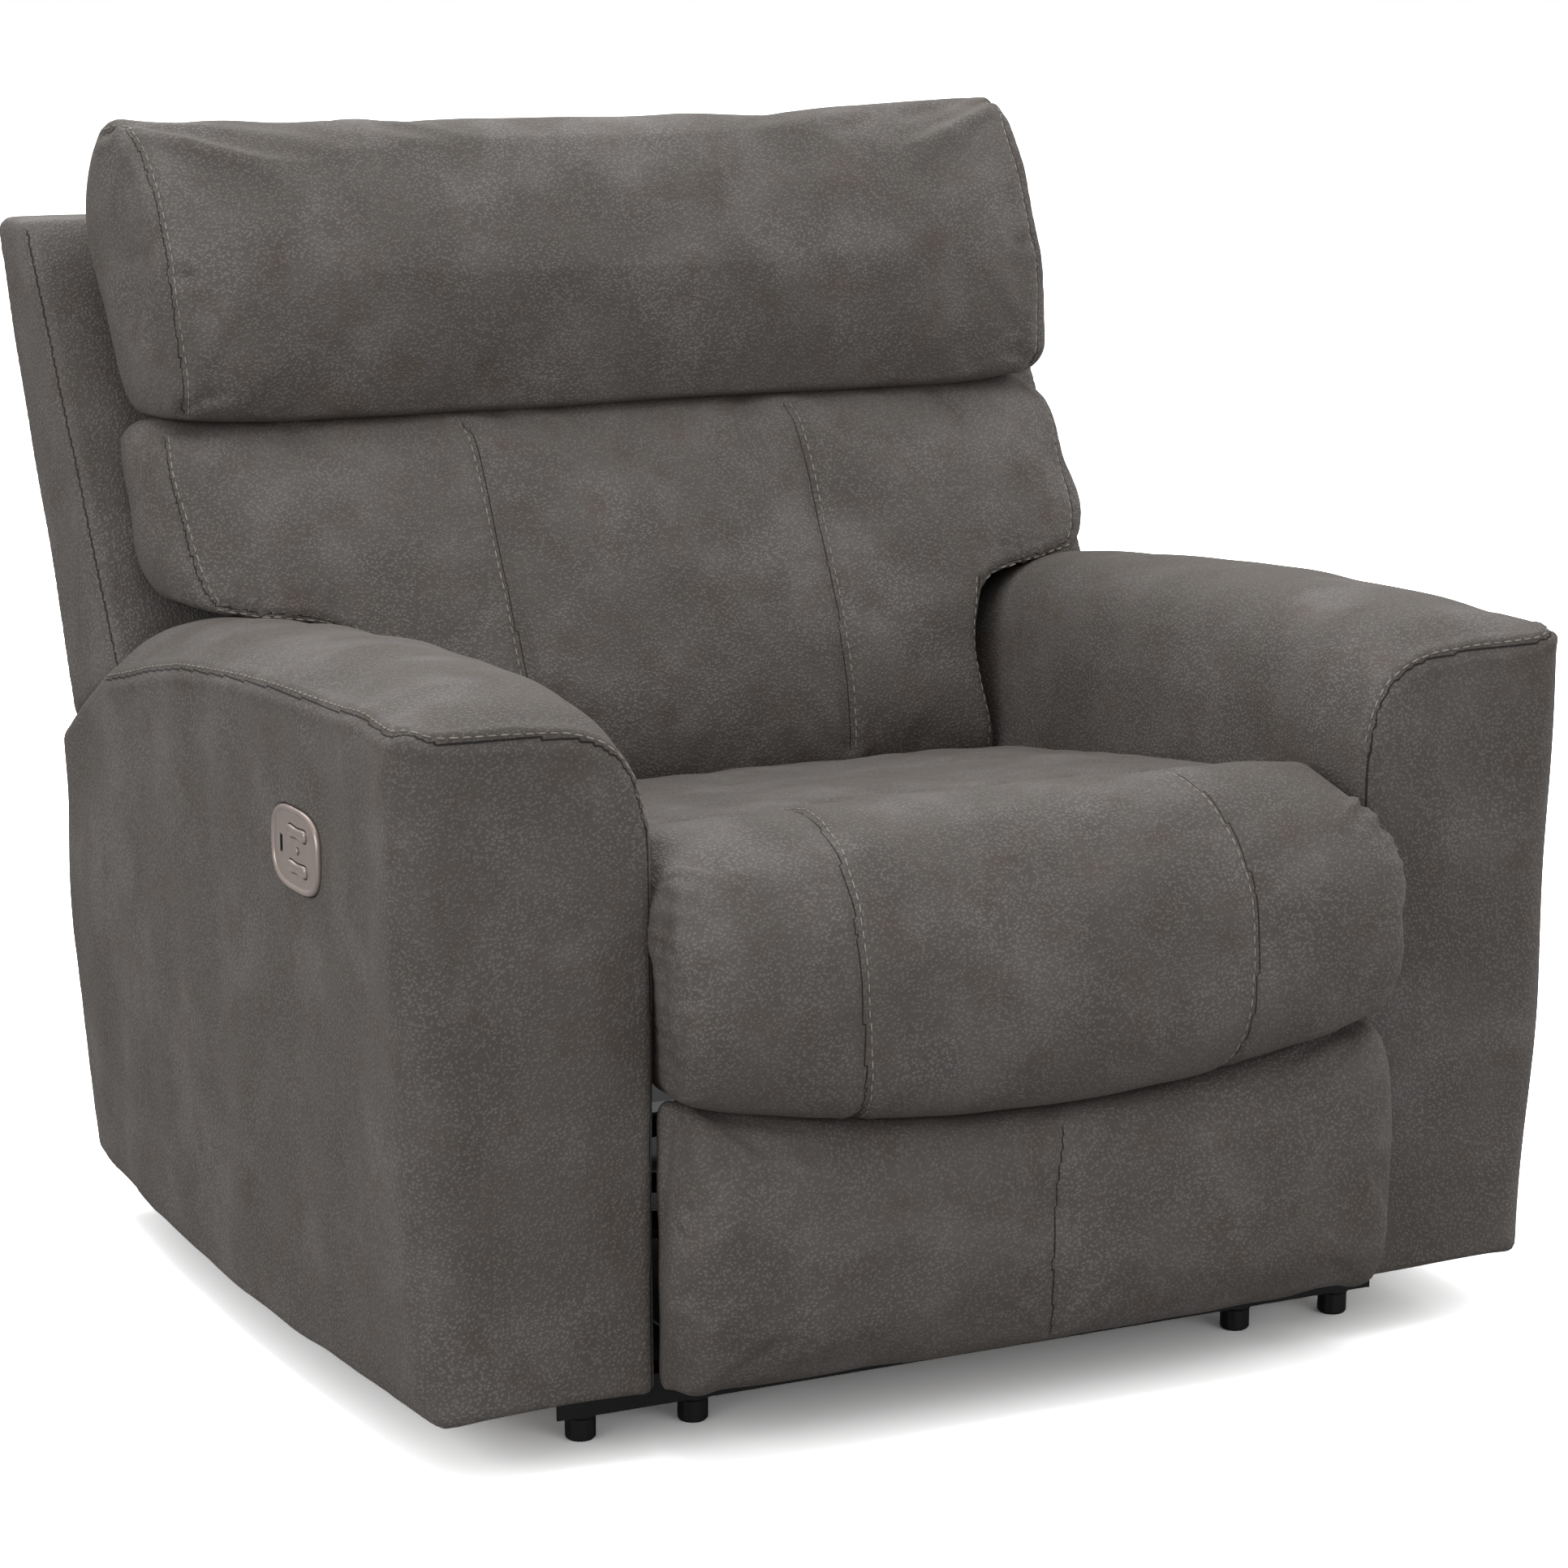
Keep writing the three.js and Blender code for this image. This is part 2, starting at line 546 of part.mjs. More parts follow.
// A rivet fixed in the inner layer, running in through the side plate to its head.
const plateRivet = (pivot) => [rod('x', pivot, PIN, PLATE_X - 1.5, LAYER[0] + 1),
  rod('x', pivot, RIVET.radius, PLATE_X - 0.5 - RIVET.head, PLATE_X - 0.5)];

const { rearPivot, drivePivot, crossPin, rearPin, upperPin, lowBoardPin, highBoardPin } = LINKAGE;
const RUNNING = PIN + FIT;
const OPEN_CLEARANCE = PIN + 2.6; // rear pin hole: this pivot closes the linkage loop

addPair('drive_link', join(link([drivePivot, crossPin], 0, []), ...rivet(crossPin),
  ...rivet(upperPin)), LINK_STEEL);
addPair('rear_link', join(link([rearPivot, rearPin], 0, []), ...plateRivet(rearPivot),
  ...rivet(rearPin)), LINK_STEEL);
addPair('lower_push_link', link([rearPin, lowBoardPin], 1,
  [[crossPin, RUNNING], [rearPin, OPEN_CLEARANCE], [lowBoardPin, RUNNING]]), LINK_STEEL);
addPair('upper_push_link', join(link([upperPin, highBoardPin], 1, [[upperPin, RUNNING]]),
  rod('x', highBoardPin, RIVET.radius, LAYER[1] + SHEET - 1, LAYER[1] + SHEET + RIVET.head)),
LINK_STEEL);

// The drive shaft turns in the side plates and carries the actuator's crank in its middle.
const CRANK_PIN = [
  drivePivot[0] + CRANK_LENGTH * Math.sin(THREE.MathUtils.degToRad(CRANK_ANGLE)),
  drivePivot[1] - CRANK_LENGTH * Math.cos(THREE.MathUtils.degToRad(CRANK_ANGLE)),
];

function driveShaft() {
  const half = LAYER[0] - GAP;
  const crank = extrude('x', strap(drivePivot, CRANK_PIN, 13), -5, 5);
  return join(rod('x', drivePivot, SHAFT_RADIUS, -half, half, 32), rod('x', drivePivot, 15, -9, 9),
    crank, rod('x', CRANK_PIN, PIN, -13.5, 13.5));
}
add('drive_shaft', driveShaft(), LINK_STEEL);

// ---------- Leg rest: bracket, board and pad ----------
const BOARD_BACK = FOOT_BACK + GAP + BOARD_THICK;

function boardBracket() {
  const side = extrude('x', rounded([[BOARD_BACK + GAP, 208, 2], [58, 208, 10], [60, 232, 10],
    [39, 287, 10], [BOARD_BACK + GAP, 287, 2]]), LAYER[0], LAYER[0] + SHEET);
  const flange = box(264, LAYER[0] + SHEET, BOARD_BACK + GAP, BOARD_BACK + GAP + STEEL, 208, 287);
  return join(side, flange, ...rivet(lowBoardPin));
}
addPair('board_bracket', boardBracket(), LINK_STEEL);

add('leg_board', extrude('y', [[-303, 80], [303, 80], [303, 282], [180, 262], [0, 252], [-180, 262],
  [-303, 282]], FOOT_BACK + GAP, BOARD_BACK), WOOD);

function legPad() {
  const pad = cushion(351, 18, 0.3, (x) => {
    const top = crease(x) - 4;
    return [[FOOT_BACK, FOOT_BOTTOM + 8], [FOOT_BACK, top - 8], [0, top], [-16, top - 1],
      [FOOT_FRONT + 4, top - 12], [FOOT_FRONT - 6, top - 44], [FOOT_FRONT - 10, 176],
      [FOOT_FRONT - 6, 108], [FOOT_FRONT + 1, FOOT_BOTTOM + 12], [FOOT_FRONT + 12, FOOT_BOTTOM],
      [0, FOOT_BOTTOM]];
  });
  const besideArms = [[SEAT_HALF, 380], [-380, -SEAT_HALF]].map(([x0, x1]) =>
    box(x0, x1, -3, 60, 30, 330));
  return cut(pad, ...besideArms);
}
add('leg_pad', legPad(), UPHOLSTERY);

// ---------- Actuator: motor and track, with the slider that works the crank ----------
const TRACK = { half: 14, bottom: 150, top: 170, front: FRONT_TUBE[0] + 12 + GAP, rear: 600 };

function actuatorTrack() {
  const outer = box(-TRACK.half, TRACK.half, TRACK.front, TRACK.rear, TRACK.bottom, TRACK.top);
  const groove = box(-TRACK.half + 3, TRACK.half - 3, TRACK.front + 6, TRACK.rear - 6,
    TRACK.bottom + 3, TRACK.top + 5);
  const screw = rod('y', [0, 160], 5, TRACK.front + 3, TRACK.rear - 3, 12);
  return join(cut(outer, groove), screw);
}

function actuatorMotor() {
  const gearbox = extrude('x', rounded([[TRACK.rear + GAP, 138, 6], [662, 138, 10], [662, 186, 10],
    [TRACK.rear + GAP, 186, 6]]), -28, 28);
  const can = rod('z', [0, 632], 22, 100, 140, 24);
  const lug = extrude('x', strap([655, 152], [REAR_TUBE[0] - 24, 152], 10), -9, 9);
  return cut(join(gearbox, can, lug), rod('x', REAR_TUBE, 12 + GAP, -20, 20));
}

function actuatorSlider() {
  const y = CRANK_PIN[0];
  const block = cut(box(-21, 21, y - 21, y + 21, TRACK.bottom + 3, 190),
    box(-TRACK.half - GAP, TRACK.half + GAP, y - 40, y + 40, 100, TRACK.top + GAP));
  const slot = rounded(rectangle(y - 8.5, y + 8.5, 204, 250).map((corner) => [...corner, 8]));
  const cheek = (x) => extrude('x', rounded([[y - 18, 185], [y + 18, 185], [y + 15, 257, 6],
    [y - 15, 257, 6]]), x, x + SHEET, [slot]);
  return join(block, cheek(9.5), cheek(-9.5 - SHEET));
}

add('actuator_track', actuatorTrack(), BLACK_STEEL);
add('actuator_motor', actuatorMotor(), BLACK_PLASTIC);
add('actuator_slider', actuatorSlider(), BLACK_PLASTIC);

// ---------- Back: cover, frame and brackets ----------
// The cover is a wedge seen from the side: its front edge leans back more than its rear face.
const COVER = { frontFoot: [773, 541], rearFoot: [910, 475], frontTop: [1020, 944], rearTop: [1115, 938] };
const FRONT_LEAN = 0.6126;
const REAR_LEAN = 0.443;
const frontY = (z) => COVER.frontFoot[0] + (z - COVER.frontFoot[1]) * FRONT_LEAN;
const rearY = (z) => COVER.rearFoot[0] + (z - COVER.rearFoot[1]) * REAR_LEAN;
const COVER_LOW = 290;

// A point up the cover's front edge and behind it, as [y, z].
const LEAN = Math.atan(FRONT_LEAN);
const onLean = (up, behind) => [
  COVER.frontFoot[0] + up * Math.sin(LEAN) + behind * Math.cos(LEAN),
  COVER.frontFoot[1] + up * Math.cos(LEAN) - behind * Math.sin(LEAN)];
const FRONT_SKIN = 5;            // cover over the front of the frame, above the arms
const FRAME_FRONT = 6;           // the wooden frame lies this far behind the edge
const FRAME_THICK = 20;

function backCover() {
  const wide = extrude('x', rounded([[...COVER.frontFoot, 3], [...COVER.rearFoot, 6],
    [...COVER.rearTop, 32], [...COVER.frontTop, 9]], 5), -BACK_HALF, BACK_HALF);
  const wideHollow = extrude('x', [[frontY(572) + FRONT_SKIN, 572], [rearY(508) - 20, 508],
    [rearY(905) - 20, 905], [rearY(905) - 34, 918], [frontY(926) + FRONT_SKIN, 926]],
  BACK_WALL - BACK_HALF, BACK_HALF - BACK_WALL);
  const narrow = extrude('x', [[frontY(412), 412], [rearY(COVER_LOW) - 20, COVER_LOW],
    [rearY(COVER_LOW), COVER_LOW], COVER.rearFoot, [rearY(600) - 2, 600], [frontY(600) + 2, 600]],
  -BACK_NARROW, BACK_NARROW);
  const narrowHollow = extrude('x', [[frontY(400) - 60, 400], [frontY(400) + 30, COVER_LOW - 20],
    [rearY(COVER_LOW - 20) - 18, COVER_LOW - 20], [rearY(620) - 18, 620], [frontY(620) - 60, 620]],
  BACK_WALL - BACK_NARROW, BACK_NARROW - BACK_WALL);
  const hingeSlots = [1, -1].map((side) => extrude('x', [onLean(240, -9), onLean(240, 9),
    onLean(296, 9), onLean(296, -9)], ...[side * 150, side * 210].sort((a, b) => a - b)));
  return cut(join(wide, narrow), wideHollow, narrowHollow, ...hingeSlots);
}

// The frame is a routed plywood T that lies just behind the cover's front edge.
function backFrame() {
  const [low, shoulder, high] = [-158, 66, 428];
  const outline = [[-289, low], [289, low], [289, shoulder], [499, shoulder], [499, high],
    [-499, high], [-499, shoulder], [-289, shoulder]];
  const window = (x, s, tall) => rounded(rectangle(x - 50, x + 50, s, s + tall).map(
    (corner) => [...corner, 16]), 2);
  const windows = [-384, -192, 0, 192, 384].flatMap((x) =>
    [window(x, 100, 112), window(x, 275, 112)]);
  const lower = [-180, 0, 180].map((x) => window(x, -110, 112));
  const shape = extrude('z', outline, 0, FRAME_THICK, [...windows, ...lower]);
  shape.rotateX(Math.PI / 2 - LEAN);
  const [y, z] = onLean(0, FRAME_FRONT + FRAME_THICK);
  return shape.translate(0, y, z);
}

// A side plate on the recline pin, with a bent tab screwed to the rear of the frame.
function backBracket() {
  const [pivotY, pivotZ] = RECLINE_PIVOT;
  const rear = FRAME_FRONT + FRAME_THICK + GAP;
  const outline = rounded([[pivotY - 19, pivotZ - 19, 14], [pivotY + 19, pivotZ - 19, 14],
    [...onLean(-50, 60), 20], [...onLean(38, rear + STEEL), 4], [...onLean(38, 8), 4],
    [...onLean(0, 8), 8], [pivotY + 50, pivotZ + 52, 12], [pivotY - 19, pivotZ + 26, 16]]);
  const plate = extrude('x', outline, PLATE_X - 1 - SHEET, PLATE_X - 1);
  const tab = extrude('x', [onLean(-70, rear), onLean(38, rear), onLean(38, rear + STEEL),
    onLean(-70, rear + STEEL)], 240, PLATE_X - 1);
  return cut(join(plate, tab), rod('x', RECLINE_PIVOT, 7 + FIT, PLATE_X - 9, PLATE_X, 28));
}

add('back_cover', backCover(), UPHOLSTERY);
add('back_frame', backFrame(), WOOD);
addPair('back_bracket', backBracket(), LINK_STEEL);

// ---------- Lumbar cushion ----------
function lumbarCushion() {
  const behind = (z) => frontY(z) - 3;
  const roundOff = (x, half) => 26 * (Math.abs(x) / half) ** 4;
  const middle = cushion(SEAT_HALF - 3, 24, 0.12, (x) => {
    const back = roundOff(x, SEAT_HALF);
    return [[640, 402], [629 + back * 0.3, 415], [627 + back * 0.3, 440], [631 + back * 0.6, 485],
      [645 + back, 535], [668 + back, 590], [697 + back, 645], [727 + back, 697],
      [752 + back, 730], [786 + back, 744], [behind(742), 742], [behind(545), 545], [671, 520],
      [671, 402]];
  });
  const wings = cushion(456, 30, 0.2, (x) => {
    const back = roundOff(x, 456);
    return [[690 + back, 613], [677 + back, 622], [697 + back, 648], [727 + back, 697],
      [752 + back, 730], [786 + back, 744], [behind(742), 742], [behind(612), 612]];
  });
  return join(middle, wings);
}
add('lumbar_cushion', lumbarCushion(), UPHOLSTERY);

// ---------- Head cushion, its board and hinge arms ----------
function headCushion() {
  return cushion(HEAD_HALF, 26, 0.22, (x) => {
    const bulge = 12 * (1 - (x / HEAD_HALF) ** 2);
    return [[790, 765], [770, 770], [764 - bulge / 2, 790], [772 - bulge, 842], [788 - bulge, 900],
      [812 - bulge, 956], [843, 1004], [876, 1034], [910, 1041], [943, 1024], [958, 992],
      [955, 950], [930, 888], [893, 822], [862, 779], [838, 765]];
  });
}

// A point on the board's front face at a height, or so far behind it.
const onBoard = (z, behind = 0) => [868 + (z - 766) * 0.573 + behind, z];

const headBoard = () => extrude('x', [onBoard(766), onBoard(766, 13.8), onBoard(930, 13.8),
  onBoard(930)], -380, 380);

const HINGE_X = 200;
function headHinge() {
  const [pivotY, pivotZ] = HEAD_PIVOT;
  const arm = extrude('x', rounded([[pivotY - 8, pivotZ - 8, 6], [886, pivotZ - 8, 8],
    onBoard(802, 30), onBoard(802, 14.4), onBoard(764, 14.4), [pivotY - 8, pivotZ + 6.5, 6]]),
  HINGE_X + 1, HINGE_X + 1 + SHEET, [circle(HEAD_PIVOT, PIN + FIT)]);
  const tab = extrude('x', [onBoard(768, 14.4), onBoard(768, 18), onBoard(802, 18),
    onBoard(802, 14.4)], HINGE_X + 1, HINGE_X + 45);
  return join(arm, tab);
}

// The fixed half of the hinge, screwed to the front of the back's frame.
function headBracket() {
  const [pivotY, pivotZ] = HEAD_PIVOT;
  const arm = extrude('x', rounded([[pivotY - 8, pivotZ - 8, 6], onLean(246, FRAME_FRONT - GAP),
    onLean(290, FRAME_FRONT - GAP), onLean(290, 0), [pivotY + 80, pivotZ + 6.5],
    [pivotY - 8, pivotZ + 6.5, 6]]), HINGE_X - SHEET, HINGE_X);
  const tab = extrude('x', [onLean(246, FRAME_FRONT - GAP - STEEL), onLean(246, FRAME_FRONT - GAP),
    onLean(290, FRAME_FRONT - GAP), onLean(290, FRAME_FRONT - GAP - STEEL)],
  HINGE_X - 45, HINGE_X);
  return join(arm, tab, rod('x', HEAD_PIVOT, PIN, HINGE_X - 1, HINGE_X + 7),
    rod('x', HEAD_PIVOT, 6.5, HINGE_X + 5.5, HINGE_X + 8));
}

add('head_cushion', headCushion(), UPHOLSTERY);
add('head_board', headBoard(), WOOD);
addPair('head_hinge', headHinge(), LINK_STEEL);
addPair('head_bracket', headBracket(), LINK_STEEL);

// The origin is on the floor, in the middle of the chair.
chair.position.y = -DEPTH_CENTRE;

export default chair;
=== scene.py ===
"""Dresses the powered recliner armchair: sewn cushions, padded arms, linkage finishes and a plain studio.

Shapes are laid out in shop millimetres: X across the chair, Y backwards from the arm fronts, Z up
from the floor. ``Shop`` turns them into the chair's own frame, in metres.
"""
from __future__ import annotations

import json
import logging
import math
from dataclasses import dataclass, field
from enum import Enum
from functools import partial
from typing import Any, Callable, Mapping, Sequence

import bmesh
import bpy
import numpy as np
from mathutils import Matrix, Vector
from mathutils.bvhtree import BVHTree

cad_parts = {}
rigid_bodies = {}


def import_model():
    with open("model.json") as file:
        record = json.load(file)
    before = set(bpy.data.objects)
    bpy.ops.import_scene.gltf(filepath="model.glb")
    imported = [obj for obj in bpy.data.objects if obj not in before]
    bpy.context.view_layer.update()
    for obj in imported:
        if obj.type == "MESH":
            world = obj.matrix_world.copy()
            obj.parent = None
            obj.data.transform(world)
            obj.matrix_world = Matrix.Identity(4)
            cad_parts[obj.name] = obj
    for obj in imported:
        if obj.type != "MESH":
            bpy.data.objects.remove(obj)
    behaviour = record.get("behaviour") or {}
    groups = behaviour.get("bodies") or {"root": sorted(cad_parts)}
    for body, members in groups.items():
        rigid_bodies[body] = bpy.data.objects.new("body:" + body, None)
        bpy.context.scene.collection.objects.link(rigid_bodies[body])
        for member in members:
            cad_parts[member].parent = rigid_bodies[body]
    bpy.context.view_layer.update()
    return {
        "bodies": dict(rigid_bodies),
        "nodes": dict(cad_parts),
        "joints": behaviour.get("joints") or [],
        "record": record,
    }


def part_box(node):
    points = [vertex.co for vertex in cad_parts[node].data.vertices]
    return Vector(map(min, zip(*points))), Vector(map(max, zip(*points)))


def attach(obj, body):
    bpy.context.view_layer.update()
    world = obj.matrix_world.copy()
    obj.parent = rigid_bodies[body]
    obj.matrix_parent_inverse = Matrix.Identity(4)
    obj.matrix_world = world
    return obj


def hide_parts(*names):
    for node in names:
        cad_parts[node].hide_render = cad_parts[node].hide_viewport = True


log = logging.getLogger("armchair")

Point = tuple[float, float, float]
Point2 = tuple[float, float]
Array = np.ndarray

LINE_STEP = 3.0  # distance between the points of a laid seam, in millimetres
TURN = np.linspace(0, 2 * math.pi, 64, endpoint=False)  # angles round each outline of the switch plate
CLOTH_FRAMES = 20  # frames that the air takes to fill a cushion
MARKED = 20.0  # how far from a seam its skin knows of it, in millimetres


# --------------------------------------------------------------------------- frame and numbers
class Side(Enum):
    """Which side of the chair a piece is on, as the sign of its X."""

    LEFT = -1
    RIGHT = 1


@dataclass(frozen=True)
class Shop:
    """Turns shop millimetres into the chair's frame.

    Attributes:
        arm_front: the Y of the arm fronts in the chair's frame, in metres.
    """

    arm_front: float

    def place(self, points: Array | Sequence[Point]) -> Array:
        """Moves points from the shop to the chair.

        Args:
            points: places in shop millimetres.

        Returns:
            The same places in metres, in the chair's frame.
        """
        out = np.asarray(points, float).reshape(-1, 3) / 1000.0
        out[:, 1] += self.arm_front
        return out

    def measure(self, points: Array) -> Array:
        """Returns points of the chair's frame, in metres, as shop millimetres."""
        out = np.array(points, float).reshape(-1, 3)
        out[:, 1] -= self.arm_front
        return out * 1000.0


def smooth_height(knots: Sequence[Point2]) -> Callable[[Array], Array]:
    """Makes a smooth height line.

    Args:
        knots: (position, height) pairs in rising order of position.

    Returns:
        A function from positions to heights, level beyond the ends.
    """
    at = np.array([k[0] for k in knots], float)
    high = np.array([k[1] for k in knots], float)
    slope = np.gradient(high, at)

    def height(where: Array) -> Array:
        """Cubic between the two nearest knots."""
        p = np.clip(np.asarray(where, float), at[0], at[-1])
        i = np.clip(np.searchsorted(at, p, side="right") - 1, 0, len(at) - 2)
        span = at[i + 1] - at[i]
        t = (p - at[i]) / span
        return (
            high[i] * (2 * t**3 - 3 * t**2 + 1) + slope[i] * span * (t**3 - 2 * t**2 + t)
            + high[i + 1] * (3 * t**2 - 2 * t**3) + slope[i + 1] * span * (t**3 - t**2)
        )

    return height


def spline(points: Sequence[Sequence[float]], step: float, closed: bool = False, count: int = 0) -> Array:
    """Draws a smooth line through points and spaces new points evenly along it.

    Args:
        points: the points it passes through.
        step: distance between the new points.
        closed: whether the last point runs on to the first.
        count: number of new points, in place of a step.

    Returns:
        The new points, one row each.
    """
    p = np.asarray(points, float)
    if closed:
        q = np.vstack([p[-1], p, p[0], p[1]])
    else:
        q = np.vstack([2 * p[0] - p[1], p, 2 * p[-1] - p[-2]])
    gap = np.sqrt(np.maximum(np.linalg.norm(np.diff(q, axis=0), axis=1), 1e-6))[:, None]
    t = np.linspace(0, 1, 24, endpoint=False)[:, None]
    runs = []
    for k in range(len(q) - 3):
        a, b, c, d = q[k:k + 4]
        before, here, after = gap[k:k + 3]
        out_b = ((b - a) / before - (c - a) / (before + here) + (c - b) / here) * here
        into_c = ((c - b) / here - (d - b) / (here + after) + (d - c) / after) * here
        runs.append(b * (2 * t**3 - 3 * t**2 + 1) + out_b * (t**3 - 2 * t**2 + t)
                    + c * (3 * t**2 - 2 * t**3) + into_c * (t**3 - t**2))
    line = np.vstack(runs + [p[:1] if closed else p[-1:]])
    along = along_line(line)
    number = count or max(int(round(along[-1] / step)) + (0 if closed else 1), 2)
    want = np.linspace(0, along[-1], number, endpoint=not closed)
    return np.column_stack([np.interp(want, along, line[:, k]) for k in range(p.shape[1])])


def along_line(line: Array) -> Array:
    """Returns how far along a line of points each of them is."""
    return np.concatenate([[0], np.cumsum(np.linalg.norm(np.diff(line, axis=0), axis=1))])


def outward(ring: Array) -> Array:
    """Returns the outward direction at each point of a closed outline in a plane."""
    ahead = np.roll(ring, -1, axis=0) - np.roll(ring, 1, axis=0)
    out = np.column_stack([ahead[:, 1], -ahead[:, 0]])
    return out / np.linalg.norm(out, axis=1, keepdims=True)


def evened(path: Array) -> Array:
    """Softens small jumps in a laid line and drops points that lie together.

    Args:
        path: places along the line, in millimetres.

    Returns:
        Fewer places, at least 6 mm apart.
    """
    soft = path.copy()
    for _ in range(3):
        soft[1:-1] = (soft[:-2] + 2 * soft[1:-1] + soft[2:]) / 4
    kept = [soft[0]]
    for place in soft[1:-1]:
        if np.linalg.norm(place - kept[-1]) > 2 * LINE_STEP and np.linalg.norm(place - soft[-1]) > LINE_STEP:
            kept.append(place)
    return np.array([*kept, soft[-1]])


def swirl(points: Array, size: float, seed: int, stretch: Point = (1.0, 1.0, 1.0)) -> Array:
    """Gives a soft, repeatable unevenness from about -1 to 1.

    Args:
        points: places in millimetres.
        size: typical distance between two high spots.
        seed: picks the pattern.
        stretch: how much longer the pattern is along each axis.

    Returns:
        One value for each point.
    """
    rng = np.random.default_rng(seed)
    total = np.zeros(len(points))
    scaled = points / np.asarray(stretch)
    for _ in range(9):
        direction = rng.normal(size=3)
        direction *= 2 * math.pi / (size * np.linalg.norm(direction)) * rng.uniform(0.6, 1.5)
        total += np.sin(scaled @ direction + rng.uniform(0, 2 * math.pi))
    return total / 3.0


# --------------------------------------------------------------------------- mesh tools
def new_piece(name: str, points: Array, faces: Sequence[Sequence[int]],
              smooth: bool = True) -> bpy.types.Object:
    """Makes a mesh object at the origin.

    Args:
        name: the piece's name.
        points: places in the chair's frame, in metres.
        faces: corner numbers of each face.
        smooth: whether its faces are shaded smooth.

    Returns:
        The new object, in the scene.
    """
    mesh = bpy.data.meshes.new(name)
    mesh.from_pydata(np.asarray(points).tolist(), [], [list(f) for f in faces])
    mesh.validate()
    mesh.polygons.foreach_set("use_smooth", [smooth] * len(mesh.polygons))
    piece = bpy.data.objects.new(name, mesh)
    bpy.context.scene.collection.objects.link(piece)
    return piece


def coords(piece: bpy.types.Object) -> Array:
    """Returns a mesh object's points as an array."""
    out = np.empty(len(piece.data.vertices) * 3)
    piece.data.vertices.foreach_get("co", out)
    return out.reshape(-1, 3)


def set_coords(piece: bpy.types.Object, points: Array) -> None:
    """Moves a mesh object's points."""
    piece.data.vertices.foreach_set("co", np.asarray(points, float).ravel())
    piece.data.update()


def normals(piece: bpy.types.Object) -> Array:
    """Returns the outward direction at each point of a mesh object."""
    out = np.empty(len(piece.data.vertices) * 3)
    piece.data.vertex_normals.foreach_get("vector", out)
    return out.reshape(-1, 3)


def face_out(piece: bpy.types.Object) -> None:
    """Merges doubled points and turns every face outwards."""
    work = bmesh.new()
    work.from_mesh(piece.data)
    bmesh.ops.remove_doubles(work, verts=work.verts, dist=1e-6)
    bmesh.ops.recalc_face_normals(work, faces=work.faces)
    work.to_mesh(piece.data)
    work.free()
    piece.data.update()


def apply_modifiers(piece: bpy.types.Object) -> None:
    """Turns a piece's modifiers into its mesh."""
    graph = bpy.context.evaluated_depsgraph_get()
    made = bpy.data.meshes.new_from_object(piece.evaluated_get(graph), depsgraph=graph)
    piece.modifiers.clear()
    piece.data = made
    made.polygons.foreach_set("use_smooth", [True] * len(made.polygons))


def shell_faces(stations: int, around: int) -> list[tuple[int, ...]]:
    """Returns the faces of a closed skin over rings of points, with a face over each end."""
    faces: list[tuple[int, ...]] = []
    for s in range(stations - 1):
        for i in range(around):
            a, b = s * around + i, s * around + (i + 1) % around
            faces.append((a, b, b + around, a + around))
    faces.append(tuple(range(around - 1, -1, -1)))
    faces.append(tuple(range((stations - 1) * around, stations * around)))
    return faces


def loft(name: str, shop: Shop, rings: Sequence[Array]) -> bpy.types.Object:
    """Stretches a closed skin over rings of points.

    Args:
        name: the piece's name.
        shop: the shop that places it.
        rings: rings of the same number of points, in shop millimetres.

    Returns:
        The new piece, its faces outwards.
    """
    piece = new_piece(name, shop.place(np.vstack(rings)), shell_faces(len(rings), len(rings[0])))
    face_out(piece)
    return piece


def modify(piece: bpy.types.Object, kind: str, **settings: Any) -> None:
    """Runs one modifier with its settings on a piece and keeps the result."""
    modifier = piece.modifiers.new(kind.lower(), kind)
    for key, value in settings.items():
        setattr(modifier, key, value)
    apply_modifiers(piece)


def remesh(piece: bpy.types.Object, voxel_mm: float) -> None:
    """Gives a piece an even skin of small squares, of a size in millimetres."""
    modify(piece, "REMESH", mode="VOXEL", voxel_size=voxel_mm / 1000.0, use_smooth_shade=True)


def relax(piece: bpy.types.Object, rounds: int) -> None:
    """Smooths a piece's skin a little."""
    modify(piece, "SMOOTH", iterations=rounds, factor=0.5)


def carve(piece: bpy.types.Object, tools: Sequence[bpy.types.Object]) -> None:
    """Cuts closed tools out of a piece, and deletes the tools."""
    for tool in tools:
        modifier = piece.modifiers.new("carve", "BOOLEAN")
        modifier.operation = "DIFFERENCE"
        modifier.solver = "EXACT"
        modifier.object = tool
    apply_modifiers(piece)
    for tool in tools:
        bpy.data.objects.remove(tool)


def join(piece: bpy.types.Object, other: bpy.types.Object) -> None:
    """Adds another object's faces to a piece, and deletes the other object."""
    work = bmesh.new()
    work.from_mesh(piece.data)
    work.from_mesh(other.data)
    work.to_mesh(piece.data)
    work.free()
    bpy.data.objects.remove(other)


def outline_points(corners: Sequence[Point2], step: float) -> list[Point2]:
    """Returns evenly spaced points along the straight sides of a closed outline."""
    out: list[Point2] = []
    for (u0, v0), (u1, v1) in zip(corners, [*corners[1:], corners[0]]):
        number = max(int(math.hypot(u1 - u0, v1 - v0) / step), 1)
        out += [(u0 + (u1 - u0) * k / number, v0 + (v1 - v0) * k / number) for k in range(number)]
    return out


def prism(name: str, shop: Shop, outline: Sequence[Point2], x_from: float, x_to: float) -> bpy.types.Object:
    """Makes a straight prism across the chair.

    Args:
        name: its name.
        shop: the shop that places it.
        outline: its outline as (y, z) in shop millimetres.
        x_from: where it starts.
        x_to: where it ends.

    Returns:
        The prism.
    """
    rings = [np.array([(x, y, z) for y, z in outline]) for x in sorted((x_from, x_to))]
    return loft(name, shop, rings)


